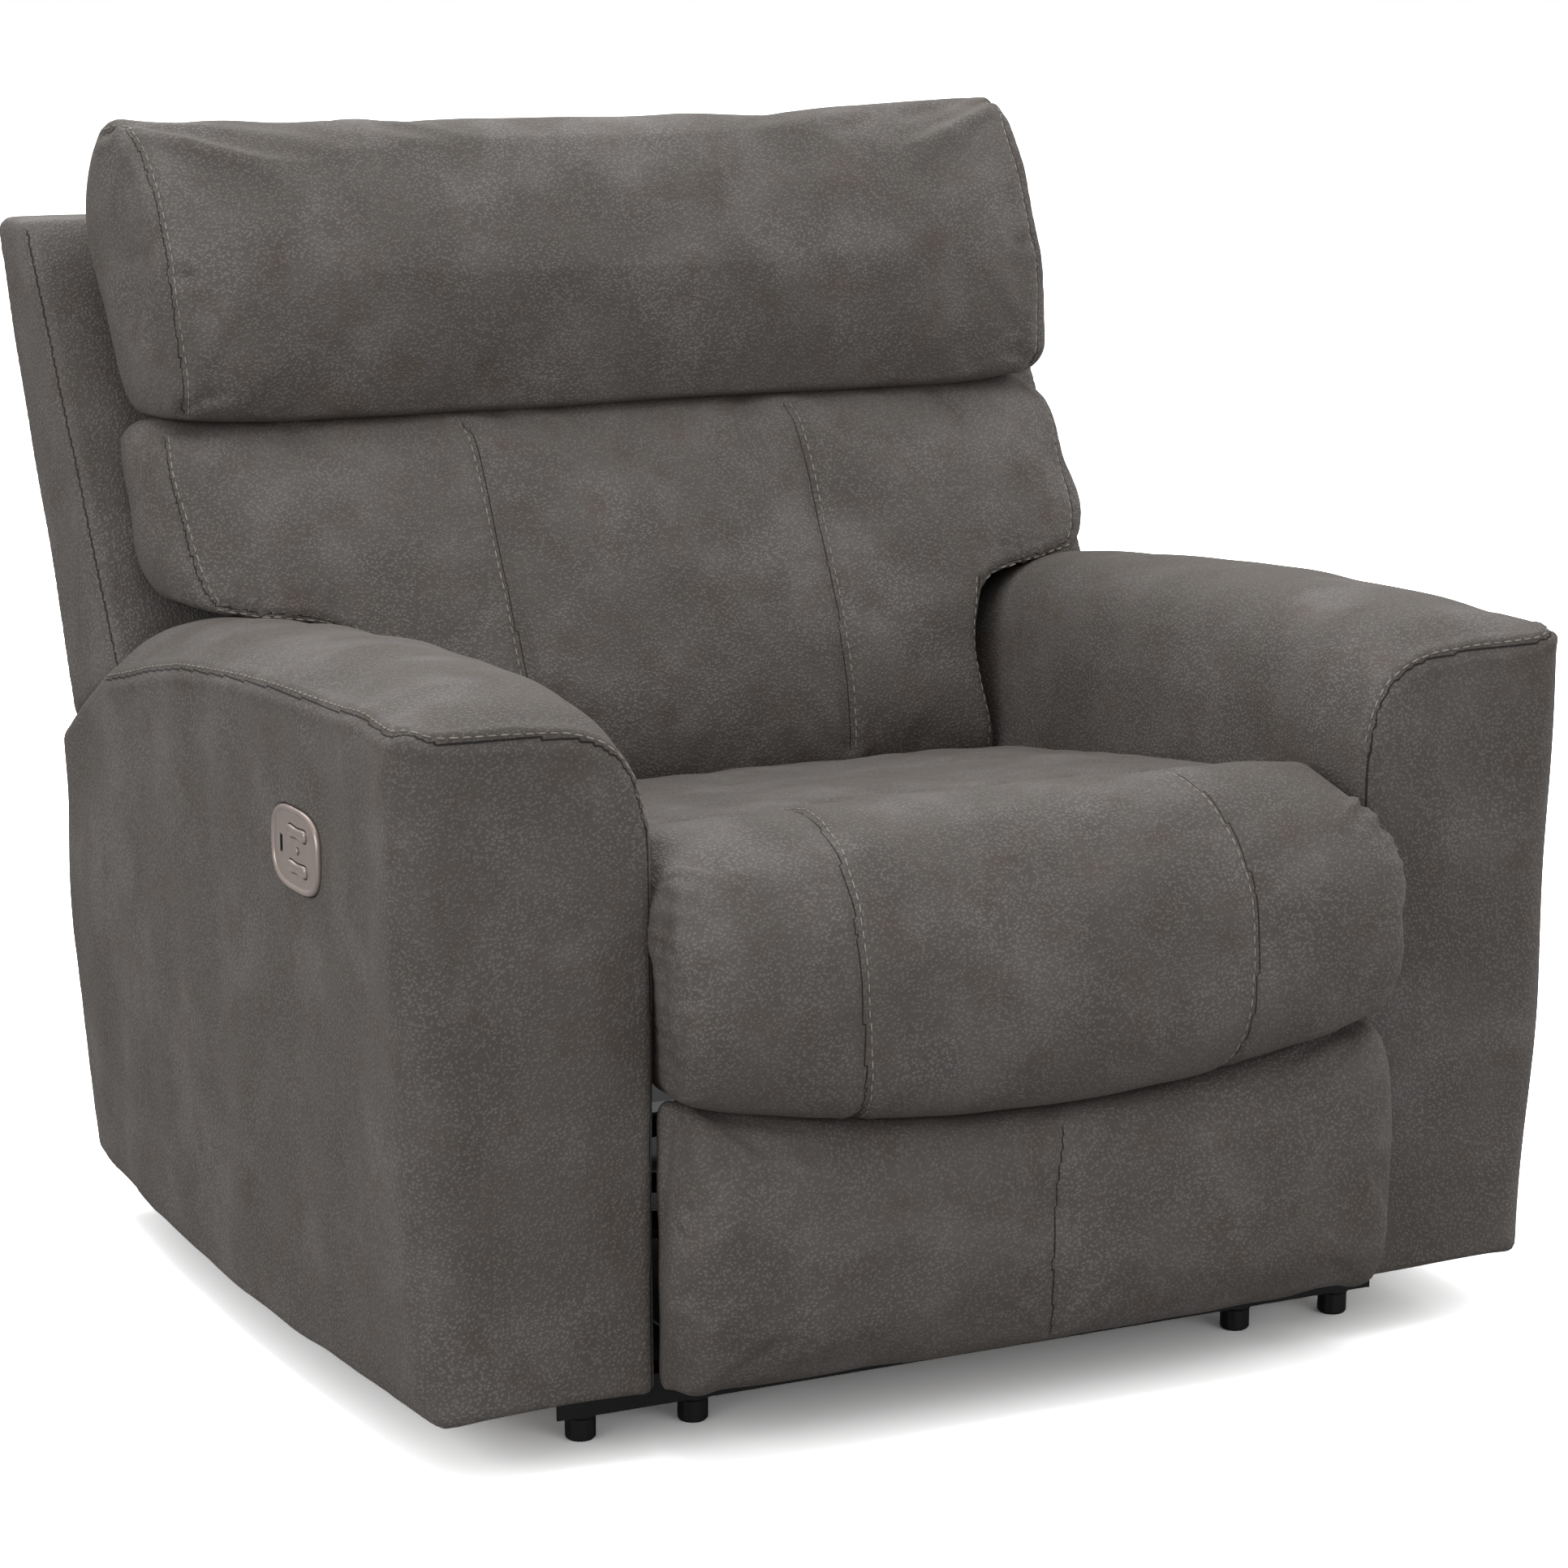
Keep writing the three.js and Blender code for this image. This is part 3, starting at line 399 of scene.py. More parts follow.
# --------------------------------------------------------------------------- inflating and sewing
@dataclass(frozen=True)
class Stuffing:
    """How a cushion is blown up.

    Attributes:
        voxel: size of its skin's squares, in millimetres.
        pressure: of the air in it.
        swell: how much larger its cloth is cut than its form.
        cap: the furthest that a point may move, in millimetres.
        stiffness: how much its cloth resists bending.
    """

    voxel: float = 6.0
    pressure: float = 4.0
    swell: float = 0.02
    cap: float = 22.0
    stiffness: float = 0.6


class LineKind(Enum):
    """What a line on a soft piece is."""

    SEAM = "seam"
    CREASE = "crease"


@dataclass(frozen=True)
class Line:
    """A seam or crease, in shop millimetres.

    Attributes:
        points: the places it passes, on or near the skin.
        depth: how far it is drawn in.
        width: how far its valley reaches to each side.
        lip: how far the cloth rises beside it.
        gather: height of the gathers across it.
        pitch: distance between two gathers.
        reach: how far the gathers run out from it.
        kind: seam or crease. A crease fades at both ends.
        stitches: distances of its rows of stitches, to its left if positive.
    """

    points: tuple[Point, ...]
    depth: float = 3.0
    width: float = 5.0
    lip: float = 0.6
    gather: float = 0.0
    pitch: float = 17.0
    reach: float = 26.0
    kind: LineKind = LineKind.SEAM
    stitches: tuple[float, ...] = ()


def nearest_on_line(points: Array, line: Array, reach: float) -> tuple[Array, Array, Array]:
    """Finds the points within reach of a line.

    Args:
        points: places in millimetres.
        line: closely spaced places along the line.
        reach: the furthest distance that counts.

    Returns:
        The numbers of the points found, their distances, and how far along the line they are.
    """
    low, high = line.min(axis=0) - reach, line.max(axis=0) + reach
    near = np.flatnonzero(np.all((points > low) & (points < high), axis=1))
    along = along_line(line)
    found, far, where = [], [], []
    for part in np.array_split(near, max(len(near) // 3000, 1)):
        gap = np.linalg.norm(points[part][:, None, :] - line[None, :, :], axis=2)
        best = gap.argmin(axis=1)
        distance = gap[np.arange(len(part)), best]
        keep = distance < reach
        found.append(part[keep])
        far.append(distance[keep])
        where.append(along[best[keep]])
    return np.concatenate(found), np.concatenate(far), np.concatenate(where)


@dataclass
class Upholstery:
    """A soft piece being made: its mesh, its lines and its stitches.

    Attributes:
        piece: the mesh object.
        shop: the shop that places it.
        lines: the seams and creases on it.
        seed: picks its unevenness.
        drawn: each line with its path as laid on the skin.
    """

    piece: bpy.types.Object
    shop: Shop
    lines: tuple[Line, ...] = ()
    seed: int = 1
    drawn: list[tuple[Line, Array]] = field(default_factory=list)

    def lay_lines(self) -> None:
        """Lays every line on the skin as it is now."""
        tree = self.tree()
        self.drawn = []
        for line in self.lines:
            path = self.shop.place(spline(line.points, LINE_STEP))
            laid = np.array([tree.find_nearest(Vector(place))[0] for place in path])
            self.drawn.append((line, spline(evened(self.shop.measure(laid)), LINE_STEP)))

    def tree(self) -> BVHTree:
        """Returns a search tree over the skin."""
        mesh = self.piece.data
        return BVHTree.FromPolygons([v.co for v in mesh.vertices], [p.vertices[:] for p in mesh.polygons])

    def blow_up(self, stuffing: Stuffing, held: Callable[[Array], Array]) -> None:
        """Fills the piece with air, its seams and some of its skin held still.

        Args:
            stuffing: how it is filled.
            held: from places in shop millimetres to a share, 1 where the skin can't move.
        """
        remesh(self.piece, stuffing.voxel)
        relax(self.piece, 2)
        self.lay_lines()
        start = coords(self.piece)
        places = self.shop.measure(start)
        weight = np.clip(held(places), 0, 1)
        for line, path in self.drawn:
            if line.kind is LineKind.SEAM:
                found, far, _ = nearest_on_line(places, path, stuffing.voxel * 1.6)
                weight[found] = np.maximum(weight[found], np.where(far < stuffing.voxel, 1.0, 0.6))
        self.simulate(stuffing, weight)
        moved = coords(self.piece) - start
        length = np.linalg.norm(moved, axis=1, keepdims=True)
        limit = stuffing.cap / 1000.0
        set_coords(self.piece, start + moved * np.minimum(1, limit / np.maximum(length, 1e-9)))
        relax(self.piece, 2)
        modify(self.piece, "SUBSURF", levels=1, render_levels=1)

    def simulate(self, stuffing: Stuffing, weight: Array) -> None:
        """Runs the cloth and applies it.

        Args:
            stuffing: how the piece is filled.
            weight: for each point, how firmly it is held.
        """
        group = self.piece.vertex_groups.new(name="held")
        for level in np.unique(np.round(weight, 1)):
            if level > 0:
                group.add(np.flatnonzero(np.round(weight, 1) == level).tolist(), float(level), "REPLACE")
        cloth = self.piece.modifiers.new("air", "CLOTH")
        settings = cloth.settings
        settings.quality = 5
        settings.mass = 0.3
        settings.tension_stiffness = settings.compression_stiffness = 15.0
        settings.shear_stiffness = 5.0
        settings.bending_stiffness = stuffing.stiffness
        settings.use_pressure = True
        settings.uniform_pressure_force = stuffing.pressure
        settings.shrink_min = -stuffing.swell
        settings.vertex_group_mass = "held"
        settings.effector_weights.gravity = 0.0
        cloth.point_cache.frame_start, cloth.point_cache.frame_end = 1, CLOTH_FRAMES
        for frame in range(1, CLOTH_FRAMES + 1):
            bpy.context.scene.frame_set(frame)
        apply_modifiers(self.piece)
        self.piece.vertex_groups.clear()
        bpy.context.scene.frame_set(1)

    def sew(self) -> None:
        """Draws the skin in along its lines, with gathers and a lip beside them."""
        self.lay_lines()
        places = self.shop.measure(coords(self.piece))
        out = normals(self.piece)
        lift = np.zeros(len(places))
        for number, (line, path) in enumerate(self.drawn):
            reach = max(line.width * 4, line.reach if line.gather else 0.0)
            found, far, where = nearest_on_line(places, path, reach)
            ends = np.ones(len(found))
            if line.kind is LineKind.CREASE:
                total = along_line(path)[-1]
                ends = np.clip(np.sin(np.pi * np.clip(where / total, 0, 1)), 0, 1) ** 0.7
            lift[found] -= line.depth * np.exp(-((far / line.width) ** 2)) * ends
            lift[found] += line.lip * np.exp(-(((far - 2.2 * line.width) / line.width) ** 2)) * ends
            if line.gather:
                rng = np.random.default_rng(self.seed * 31 + number)
                knots = np.arange(0, where.max() + 3 * line.pitch, line.pitch * 0.5)
                knots += rng.uniform(-0.2, 0.2, len(knots)) * line.pitch
                heights = np.where(np.arange(len(knots)) % 2, 1.0, -1.0) * rng.uniform(0.2, 1.0, len(knots))
                wave = line.gather * np.interp(where, knots, heights)
                lift[found] += wave * np.exp(-far / (line.reach * 0.45)) * (1 - np.exp(-far / 3.0))
        set_coords(self.piece, self.shop.place(places + out * lift[:, None]))

    def mark(self) -> None:
        """Records how far each point is from the nearest seam, and on which side of it, for the cover's
        painted seam shade and its groove bump.
        """
        places = self.shop.measure(coords(self.piece))
        out = normals(self.piece)
        gap, side = np.full((2, len(places)), 1.5 * MARKED)
        for line, path in self.drawn:
            if line.kind is LineKind.CREASE:
                continue
            heading = np.gradient(path, axis=0)
            along = along_line(path)
            found, far, where = nearest_on_line(places, path, MARKED)
            spot = np.column_stack([np.interp(where, along, path[:, k]) for k in range(3)])
            way = np.column_stack([np.interp(where, along, heading[:, k]) for k in range(3)])
            left = np.einsum("ij,ij->i", np.cross(out[found], way), places[found] - spot)
            closer = far < gap[found]
            gap[found] = np.where(closer, far, gap[found])
            side[found] = np.where(closer, np.copysign(far, left), side[found])
        for name, values in (("seam_gap", gap), ("seam_side", side)):
            attribute = self.piece.data.attributes.new(name, "FLOAT", "POINT")
            attribute.data.foreach_set("value", values.astype(np.float32))

    def ripple(self, height: float, size: float, stretch: Point = (1.0, 1.0, 1.0)) -> None:
        """Adds a soft unevenness to the skin.

        Args:
            height: how far it rises and falls, in millimetres.
            size: typical distance between two high spots.
            stretch: how much longer the pattern is along each axis.
        """
        places = self.shop.measure(coords(self.piece))
        lift = height * swirl(places, size, self.seed, stretch)
        set_coords(self.piece, self.shop.place(places + normals(self.piece) * lift[:, None]))

    def stitches(self, thread: "Finish") -> bpy.types.Object | None:
        """Makes the rows of stitches beside the seams.

        Args:
            thread: the finish of the thread.

        Returns:
            One mesh with every stitch, or None if no seam has any.
        """
        tree = self.tree()
        points: list[Array] = []
        edges: list[tuple[int, int]] = []
        out: list[Array] = []
        for line, path in self.drawn:
            for offset in line.stitches:
                track = self.shop.place(path)
                heading = np.gradient(track, axis=0)
                heading /= np.linalg.norm(heading, axis=1, keepdims=True)
                row, up = [], []
                for place, along in zip(track, heading):
                    _, face_normal, _, _ = tree.find_nearest(Vector(place))
                    left = np.cross(face_normal, along)
                    spot, skin, _, _ = tree.find_nearest(Vector(place + left * offset / 1000.0))
                    row.append(np.array(spot) + np.array(skin) * 0.0002)
                    up.append(np.array(skin))
                first = sum(len(p) for p in points)
                edges += [(first + k, first + k + 1) for k in range(len(row) - 1)]
                points.append(np.array(row))
                out.append(np.array(up))
        if not points:
            return None
        mesh = bpy.data.meshes.new(self.piece.name + "_stitches")
        mesh.from_pydata(np.vstack(points).tolist(), edges, [])
        attribute = mesh.attributes.new("skin_normal", "FLOAT_VECTOR", "POINT")
        attribute.data.foreach_set("vector", np.vstack(out).astype(np.float32).ravel())
        rows = bpy.data.objects.new(mesh.name, mesh)
        bpy.context.scene.collection.objects.link(rows)
        return StitchMaker().make(rows, thread)


def stuffed(skin: Upholstery, stuffing: Stuffing, held: Callable[[Array], Array],
            ripple: Point2) -> Upholstery:
    """Blows a cushion up, ripples its skin and sews its lines.

    Args:
        skin: the cushion's form, with its lines.
        stuffing: how it is filled.
        held: from places in shop millimetres to a share, 1 where the skin can't move.
        ripple: height and size of the unevenness of its skin, in millimetres.

    Returns:
        The same cushion, sewn.
    """
    skin.blow_up(stuffing, held)
    skin.ripple(*ripple)
    skin.sew()
    return skin


# --------------------------------------------------------------------------- geometry nodes
@dataclass(frozen=True)
class StitchMaker:
    """Sets thread stitches along a line of points.

    Attributes:
        pitch: distance from one stitch to the next, in millimetres.
        length: length of a stitch.
        thickness: thickness of the thread.
    """

    pitch: float = 10.6
    length: float = 9.2
    thickness: float = 1.5

    def tree(self) -> bpy.types.NodeTree:
        """Returns the node tree, built once: a line in, stitches out."""
        name = "thread_stitches"
        if name in bpy.data.node_groups:
            return bpy.data.node_groups[name]
        tree = bpy.data.node_groups.new(name, "GeometryNodeTree")
        for label, kind in (("Line", "NodeSocketGeometry"), ("Pitch", "NodeSocketFloat"),
                            ("Stitch Length", "NodeSocketFloat"), ("Thread Thickness", "NodeSocketFloat"),
                            ("Thread", "NodeSocketMaterial")):
            tree.interface.new_socket(label, in_out="INPUT", socket_type=kind)
        tree.interface.new_socket("Stitches", in_out="OUTPUT", socket_type="NodeSocketGeometry")
        given = add_node(tree, "NodeGroupInput").outputs
        curve = add_node(tree, "GeometryNodeMeshToCurve", {}, {"Mesh": given["Line"]})
        spaced = add_node(tree, "GeometryNodeResampleCurve", {"mode": "LENGTH"},
                          {"Curve": curve.outputs["Curve"], "Length": given["Pitch"]})
        bead = add_node(tree, "GeometryNodeMeshUVSphere", {}, {"Segments": 6, "Rings": 5, "Radius": 0.5})
        size = add_node(tree, "ShaderNodeCombineXYZ", {}, {
            "X": given["Stitch Length"], "Y": given["Thread Thickness"], "Z": given["Thread Thickness"]})
        stitch = add_node(tree, "GeometryNodeTransform", {}, {
            "Geometry": bead.outputs["Mesh"], "Scale": size.outputs["Vector"]})
        tangent = add_node(tree, "GeometryNodeInputTangent")
        skin = add_node(tree, "GeometryNodeInputNamedAttribute", {"data_type": "FLOAT_VECTOR"},
                        {"Name": "skin_normal"})
        along = add_node(tree, "FunctionNodeAlignRotationToVector", {"axis": "X"},
                         {"Vector": tangent.outputs["Tangent"]})
        upright = add_node(tree, "FunctionNodeAlignRotationToVector", {"axis": "Z", "pivot_axis": "X"}, {
            "Rotation": along.outputs["Rotation"], "Vector": skin.outputs["Attribute"]})
        placed = add_node(tree, "GeometryNodeInstanceOnPoints", {}, {
            "Points": spaced.outputs["Curve"], "Instance": stitch.outputs["Geometry"],
            "Rotation": upright.outputs["Rotation"]})
        real = add_node(tree, "GeometryNodeRealizeInstances", {}, {"Geometry": placed.outputs["Instances"]})
        dressed = add_node(tree, "GeometryNodeSetMaterial", {}, {
            "Geometry": real.outputs["Geometry"], "Material": given["Thread"]})
        add_node(tree, "NodeGroupOutput", {}, {"Stitches": dressed.outputs["Geometry"]})
        return tree

    def make(self, rows: bpy.types.Object, thread: "Finish") -> bpy.types.Object:
        """Turns rows of points into stitches.

        Args:
            rows: a mesh of edges with the skin's direction at each point.
            thread: the finish of the thread.

        Returns:
            The same object, now a plain mesh of stitches.
        """
        return run_nodes(rows, self.tree(), {
            "Pitch": self.pitch / 1000.0, "Stitch Length": self.length / 1000.0,
            "Thread Thickness": self.thickness / 1000.0, "Thread": thread.material()})


def run_nodes(piece: bpy.types.Object, tree: bpy.types.NodeTree,
              inputs: Mapping[str, Any]) -> bpy.types.Object:
    """Runs a geometry node tree on a piece and keeps its result as a plain mesh.

    Args:
        piece: the piece that goes in.
        tree: the node tree.
        inputs: values by the name of the input.

    Returns:
        The piece, with the result as its mesh.
    """
    modifier = piece.modifiers.new(tree.name, "NODES")
    modifier.node_group = tree
    for item in tree.interface.items_tree:
        if item.item_type == "SOCKET" and item.in_out == "INPUT" and item.name in inputs:
            modifier[item.identifier] = inputs[item.name]
    apply_modifiers(piece)
    return piece


def add_node(tree: bpy.types.NodeTree, kind: str, settings: Mapping[str, Any] | None = None,
             inputs: Mapping[Any, Any] | None = None) -> bpy.types.Node:
    """Adds one node with its settings and links.

    Args:
        tree: the tree it goes in.
        kind: Blender's name for the node.
        settings: the node's own properties.
        inputs: a value, or another node's output, for each input by name or number.

    Returns:
        The node.
    """
    node = tree.nodes.new(kind)
    for key, value in (settings or {}).items():
        setattr(node, key, value)
    for key, value in (inputs or {}).items():
        if isinstance(value, bpy.types.NodeSocket):
            tree.links.new(value, node.inputs[key])
        else:
            node.inputs[key].default_value = value
    return node


# --------------------------------------------------------------------------- finishes
def linear(hex_colour: str) -> tuple[float, float, float, float]:
    """Turns an sRGB hex colour into the linear values that shaders use."""
    parts = [int(hex_colour[k:k + 2], 16) / 255.0 for k in (1, 3, 5)]
    red, green, blue = [p / 12.92 if p <= 0.04045 else ((p + 0.055) / 1.055) ** 2.4 for p in parts]
    return (red, green, blue, 1.0)


@dataclass(frozen=True)
class Finish:
    """A finish, made once as a Blender material.

    Attributes:
        name: the material's name.
        slot: the record's material slot.
        colour: its main colour.
        roughness: of its surface.
        metallic: 1 for bare metal.
    """

    name: str
    slot: str
    colour: str
    roughness: float = 0.6
    metallic: float = 0.0

    def material(self) -> bpy.types.Material:
        """Returns the material, making it the first time."""
        if self.name in bpy.data.materials:
            return bpy.data.materials[self.name]
        material = bpy.data.materials.new(self.name)
        material.use_nodes = True
        tree = material.node_tree
        tree.nodes.clear()
        shader = add_node(tree, "ShaderNodeBsdfPrincipled", {}, {
            "Base Color": linear(self.colour), "Roughness": self.roughness, "Metallic": self.metallic})
        add_node(tree, "ShaderNodeOutputMaterial", {}, {"Surface": shader.outputs["BSDF"]})
        self.detail(tree, shader)
        return material

    def detail(self, tree: bpy.types.NodeTree, shader: bpy.types.Node) -> None:
        """Adds what the finish shows close up."""

    def dress(self, piece: bpy.types.Object) -> None:
        """Gives a piece this finish."""
        piece.data.materials.clear()
        piece.data.materials.append(self.material())


def noise(tree: bpy.types.NodeTree, size_mm: float, detail: float = 3.0, stretch: Point = (1, 1, 1),
          rough: float = 0.5) -> bpy.types.NodeSocket:
    """Returns a noise pattern whose features are about size_mm apart.

    Args:
        tree: the material's tree.
        size_mm: distance between features.
        detail: how many finer layers it has.
        stretch: how much longer the features are along each axis.
        rough: strength of the finer layers.

    Returns:
        The pattern, about 0 to 1.
    """
    place = add_node(tree, "ShaderNodeTexCoord")
    turned = add_node(tree, "ShaderNodeMapping", {}, {
        "Vector": place.outputs["Object"], "Scale": tuple(1.0 / s for s in stretch)})
    pattern = add_node(tree, "ShaderNodeTexNoise", {}, {
        "Vector": turned.outputs["Vector"], "Scale": 1000.0 / size_mm, "Detail": detail, "Roughness": rough})
    return pattern.outputs["Fac"]


def remap(tree: bpy.types.NodeTree, value: bpy.types.NodeSocket, low: float, high: float, to_low: float = 0.0,
          to_high: float = 1.0, smooth: bool = False) -> bpy.types.NodeSocket:
    """Returns value, moved from low..high to to_low..to_high and kept inside."""
    node = add_node(tree, "ShaderNodeMapRange", {
        "interpolation_type": "SMOOTHSTEP" if smooth else "LINEAR"}, {
        "Value": value, "From Min": low, "From Max": high, "To Min": to_low, "To Max": to_high})
    return node.outputs["Result"]


def blend_colour(tree: bpy.types.NodeTree, share: Any, first: Any, second: Any) -> bpy.types.NodeSocket:
    """Returns first mixed with second by share; each colour is a hex text or a pattern."""
    colours = [linear(c) if isinstance(c, str) else c for c in (first, second)]
    node = add_node(tree, "ShaderNodeMix", {"data_type": "RGBA"}, {0: share, 6: colours[0], 7: colours[1]})
    return node.outputs[2]


def reckon(tree: bpy.types.NodeTree, operation: str, *values: Any) -> bpy.types.NodeSocket:
    """Returns the result of one maths node on values or patterns."""
    node = add_node(tree, "ShaderNodeMath", {"operation": operation}, dict(enumerate(values)))
    return node.outputs["Value"]


def move(tree: bpy.types.NodeTree, operation: str, *values: Any) -> bpy.types.NodeSocket:
    """Returns the result of one maths node on places."""
    node = add_node(tree, "ShaderNodeVectorMath", {"operation": operation}, dict(enumerate(values)))
    return node.outputs["Value" if operation == "LENGTH" else "Vector"]


def roughen(tree: bpy.types.NodeTree, shader: bpy.types.Node, height: Any, metres: float,
            share: float) -> None:
    """Gives a shader bumps of a height in metres, at a share of their strength."""
    bump = add_node(tree, "ShaderNodeBump", {}, {"Height": height, "Distance": metres, "Strength": share})
    tree.links.new(bump.outputs["Normal"], shader.inputs["Normal"])


def seen_directly(tree: bpy.types.NodeTree) -> bpy.types.NodeSocket:
    """Returns 1 for what the camera sees, also through glass, and 0 for the light that bounces."""
    path = add_node(tree, "ShaderNodeLightPath")
    return reckon(tree, "MAXIMUM", path.outputs["Is Camera Ray"], path.outputs["Is Transmission Ray"])


@dataclass(frozen=True)
class PebbledSuede(Finish):
    """Microfibre with a suede touch, embossed like buffed leather: matte, cloudy and finely pebbled, with a
    painted highlight on its pebble tips and painted shade between its pebbles and in its seams.

    Attributes:
        light: colour of its rubbed patches.
        warm: colour of its faint brown mottling.
        pebble_shade: painted shade between its pebbles.
        pebble_highlight: painted highlight on its pebble tips.
        shade: painted shade in the groove of a seam.
        sheen: colour of the nap in grazing light.
        pebble: distance between pebbles, in millimetres.
    """

    light: str = "#7f7b79"
    warm: str = "#67574c"
    pebble_shade: str = "#4c4845"
    pebble_highlight: str = "#8d8985"
    shade: str = "#1a1715"
    sheen: str = "#b8aea4"
    pebble: float = 3.0

    def detail(self, tree: bpy.types.NodeTree, shader: bpy.types.Node) -> None:
        """Clouds 95 mm wide, brown mottling 45 mm wide and pebbles of a few millimetres, with a painted
        highlight on each pebble's tip and painted shade between the pebbles and in the join of each seam.

        The real pebbles are nearer 2 mm: they are drawn at the size that still shows from across a room.
        """
        clouds = remap(tree, noise(tree, 95.0, 3.0), 0.42, 0.68, smooth=True)
        mottle = remap(tree, noise(tree, 45.0, 4.0, rough=0.6), 0.5, 0.72, smooth=True)
        # how strongly the painted highlight and painted shade of the pebbles show, patch by patch
        pebble_light_share = remap(tree, noise(tree, 60.0, 2.0), 0.35, 0.65, 0.7, 1.0, smooth=True)
        place = add_node(tree, "ShaderNodeTexCoord").outputs["Object"]
        waver = add_node(tree, "ShaderNodeTexNoise", {}, {"Vector": place, "Scale": 260.0, "Detail": 1.0})
        bent = add_node(tree, "ShaderNodeMix", {"data_type": "VECTOR"}, {
            0: 0.003, 4: place, 5: waver.outputs["Color"]})
        pebbles = add_node(tree, "ShaderNodeTexVoronoi", {"feature": "F1"}, {
            "Vector": bent.outputs[1], "Scale": 1000.0 / self.pebble})
        grain = remap(tree, pebbles.outputs["Distance"], 0.16, 0.6, 1.0, 0.0, smooth=True)
        # shares of the painted highlight on the pebble tips and of the painted shade between the pebbles
        pebble_highlight = reckon(tree, "MULTIPLY", remap(tree, grain, 0.5, 1.0, 0.0, 0.28), pebble_light_share)
        pebble_shade_share = reckon(tree, "MULTIPLY", remap(tree, grain, 0.0, 0.5, 0.6, 0.0), pebble_light_share)
        base = blend_colour(tree, remap(tree, clouds, 0, 1, 0, 0.75), self.colour, self.light)
        base = blend_colour(tree, remap(tree, mottle, 0, 1, 0, 0.55), base, self.warm)
        # painted shade between the pebbles, then a painted highlight on their tips
        base = blend_colour(tree, pebble_shade_share, base, self.pebble_shade)
        base = blend_colour(tree, pebble_highlight, base, self.pebble_highlight)
        line = self.seam_line(tree)
        # painted shade in the groove of each seam, nearly black
        base = blend_colour(tree, remap(tree, line, 0, 1, 0, 0.9), base, self.shade)
        tree.links.new(base, shader.inputs["Base Color"])
        tree.links.new(remap(tree, clouds, 0, 1, self.roughness + 0.06, self.roughness - 0.08),
                       shader.inputs["Roughness"])
        shader.inputs["Sheen Weight"].default_value = 0.12
        shader.inputs["Sheen Roughness"].default_value = 0.5
        shader.inputs["Sheen Tint"].default_value = linear(self.sheen)
        bumpy = reckon(tree, "MULTIPLY_ADD", noise(tree, 1.4, 2.0), 0.3, grain)
        roughen(tree, shader, reckon(tree, "MULTIPLY_ADD", line, -2.5, bumpy), 0.0006, 0.8)

    def seam_line(self, tree: bpy.types.NodeTree) -> bpy.types.NodeSocket:
        """Returns a pattern that is 1 in the join of a seam, from where the skin says its seams are: it
        places the seam groove's painted shade and its bump.
        """
        gap = add_node(tree, "ShaderNodeAttribute", {"attribute_name": "seam_gap"}).outputs["Fac"]
        side = add_node(tree, "ShaderNodeAttribute", {"attribute_name": "seam_side"}).outputs["Fac"]
        join = remap(tree, reckon(tree, "ABSOLUTE", side), 0.5, 1.9, 1.0, 0.0, smooth=True)
        return reckon(tree, "MULTIPLY", join, remap(tree, gap, 5.0, 8.0, 1.0, 0.0))


@dataclass(frozen=True)
class PowderCoat(Finish):
    """Black polyester powder on steel: satin, with a fine orange-peel."""

    def detail(self, tree: bpy.types.NodeTree, shader: bpy.types.Node) -> None:
        """Orange-peel bumps 1.2 mm apart and a little dust."""
        roughen(tree, shader, noise(tree, 1.2, 1.0), 0.0002, 0.5)
        dust = remap(tree, noise(tree, 45.0, 4.0), 0.5, 0.8, 0.0, 0.25)
        tree.links.new(blend_colour(tree, dust, self.colour, "#3a3836"), shader.inputs["Base Color"])


@dataclass(frozen=True)
class ZincSheet(Finish):
    """Bright zinc plate on pressed steel: grey, with faint streaks from the rolling mill."""

    def detail(self, tree: bpy.types.NodeTree, shader: bpy.types.Node) -> None:
        """Rolling streaks 0.8 mm apart, long in Y, and blotches in the plating."""
        streak = noise(tree, 0.8, 2.0, stretch=(1, 40, 1))
        blotch = remap(tree, noise(tree, 18.0, 3.0), 0.4, 0.7, 0, 0.5)
        tree.links.new(blend_colour(tree, blotch, self.colour, "#9a9ea1"), shader.inputs["Base Color"])
        tree.links.new(remap(tree, streak, 0.3, 0.7, self.roughness - 0.08, self.roughness + 0.12),
                       shader.inputs["Roughness"])


@dataclass(frozen=True)
class Plywood(Finish):
    """Birch plywood, sanded and left bare: pale, with long grain and a few darker bands."""

    def detail(self, tree: bpy.types.NodeTree, shader: bpy.types.Node) -> None:
        """Grain lines 3 mm apart, stretched 14 times along Z."""
        grain = noise(tree, 3.0, 5.0, stretch=(1, 1, 14), rough=0.65)
        band = noise(tree, 40.0, 2.0, stretch=(1, 1, 8))
        tone = blend_colour(tree, remap(tree, grain, 0.35, 0.7, 0, 0.6), self.colour, "#8d6c45")
        tree.links.new(blend_colour(tree, remap(tree, band, 0.4, 0.7, 0, 0.35), tone, "#d9bd90"),
                       shader.inputs["Base Color"])
        roughen(tree, shader, grain, 0.0003, 0.5)


@dataclass(frozen=True)
class MouldedNylon(Finish):
    """Black nylon from a spark-eroded mould: matte, with a fine even texture."""

    def detail(self, tree: bpy.types.NodeTree, shader: bpy.types.Node) -> None:
        """A mould texture of 0.6 mm and slight scuffs."""
        roughen(tree, shader, noise(tree, 0.6, 1.0), 0.0001, 0.6)
        scuff = remap(tree, noise(tree, 9.0, 5.0), 0.55, 0.8, self.roughness, self.roughness + 0.15)
        tree.links.new(scuff, shader.inputs["Roughness"])


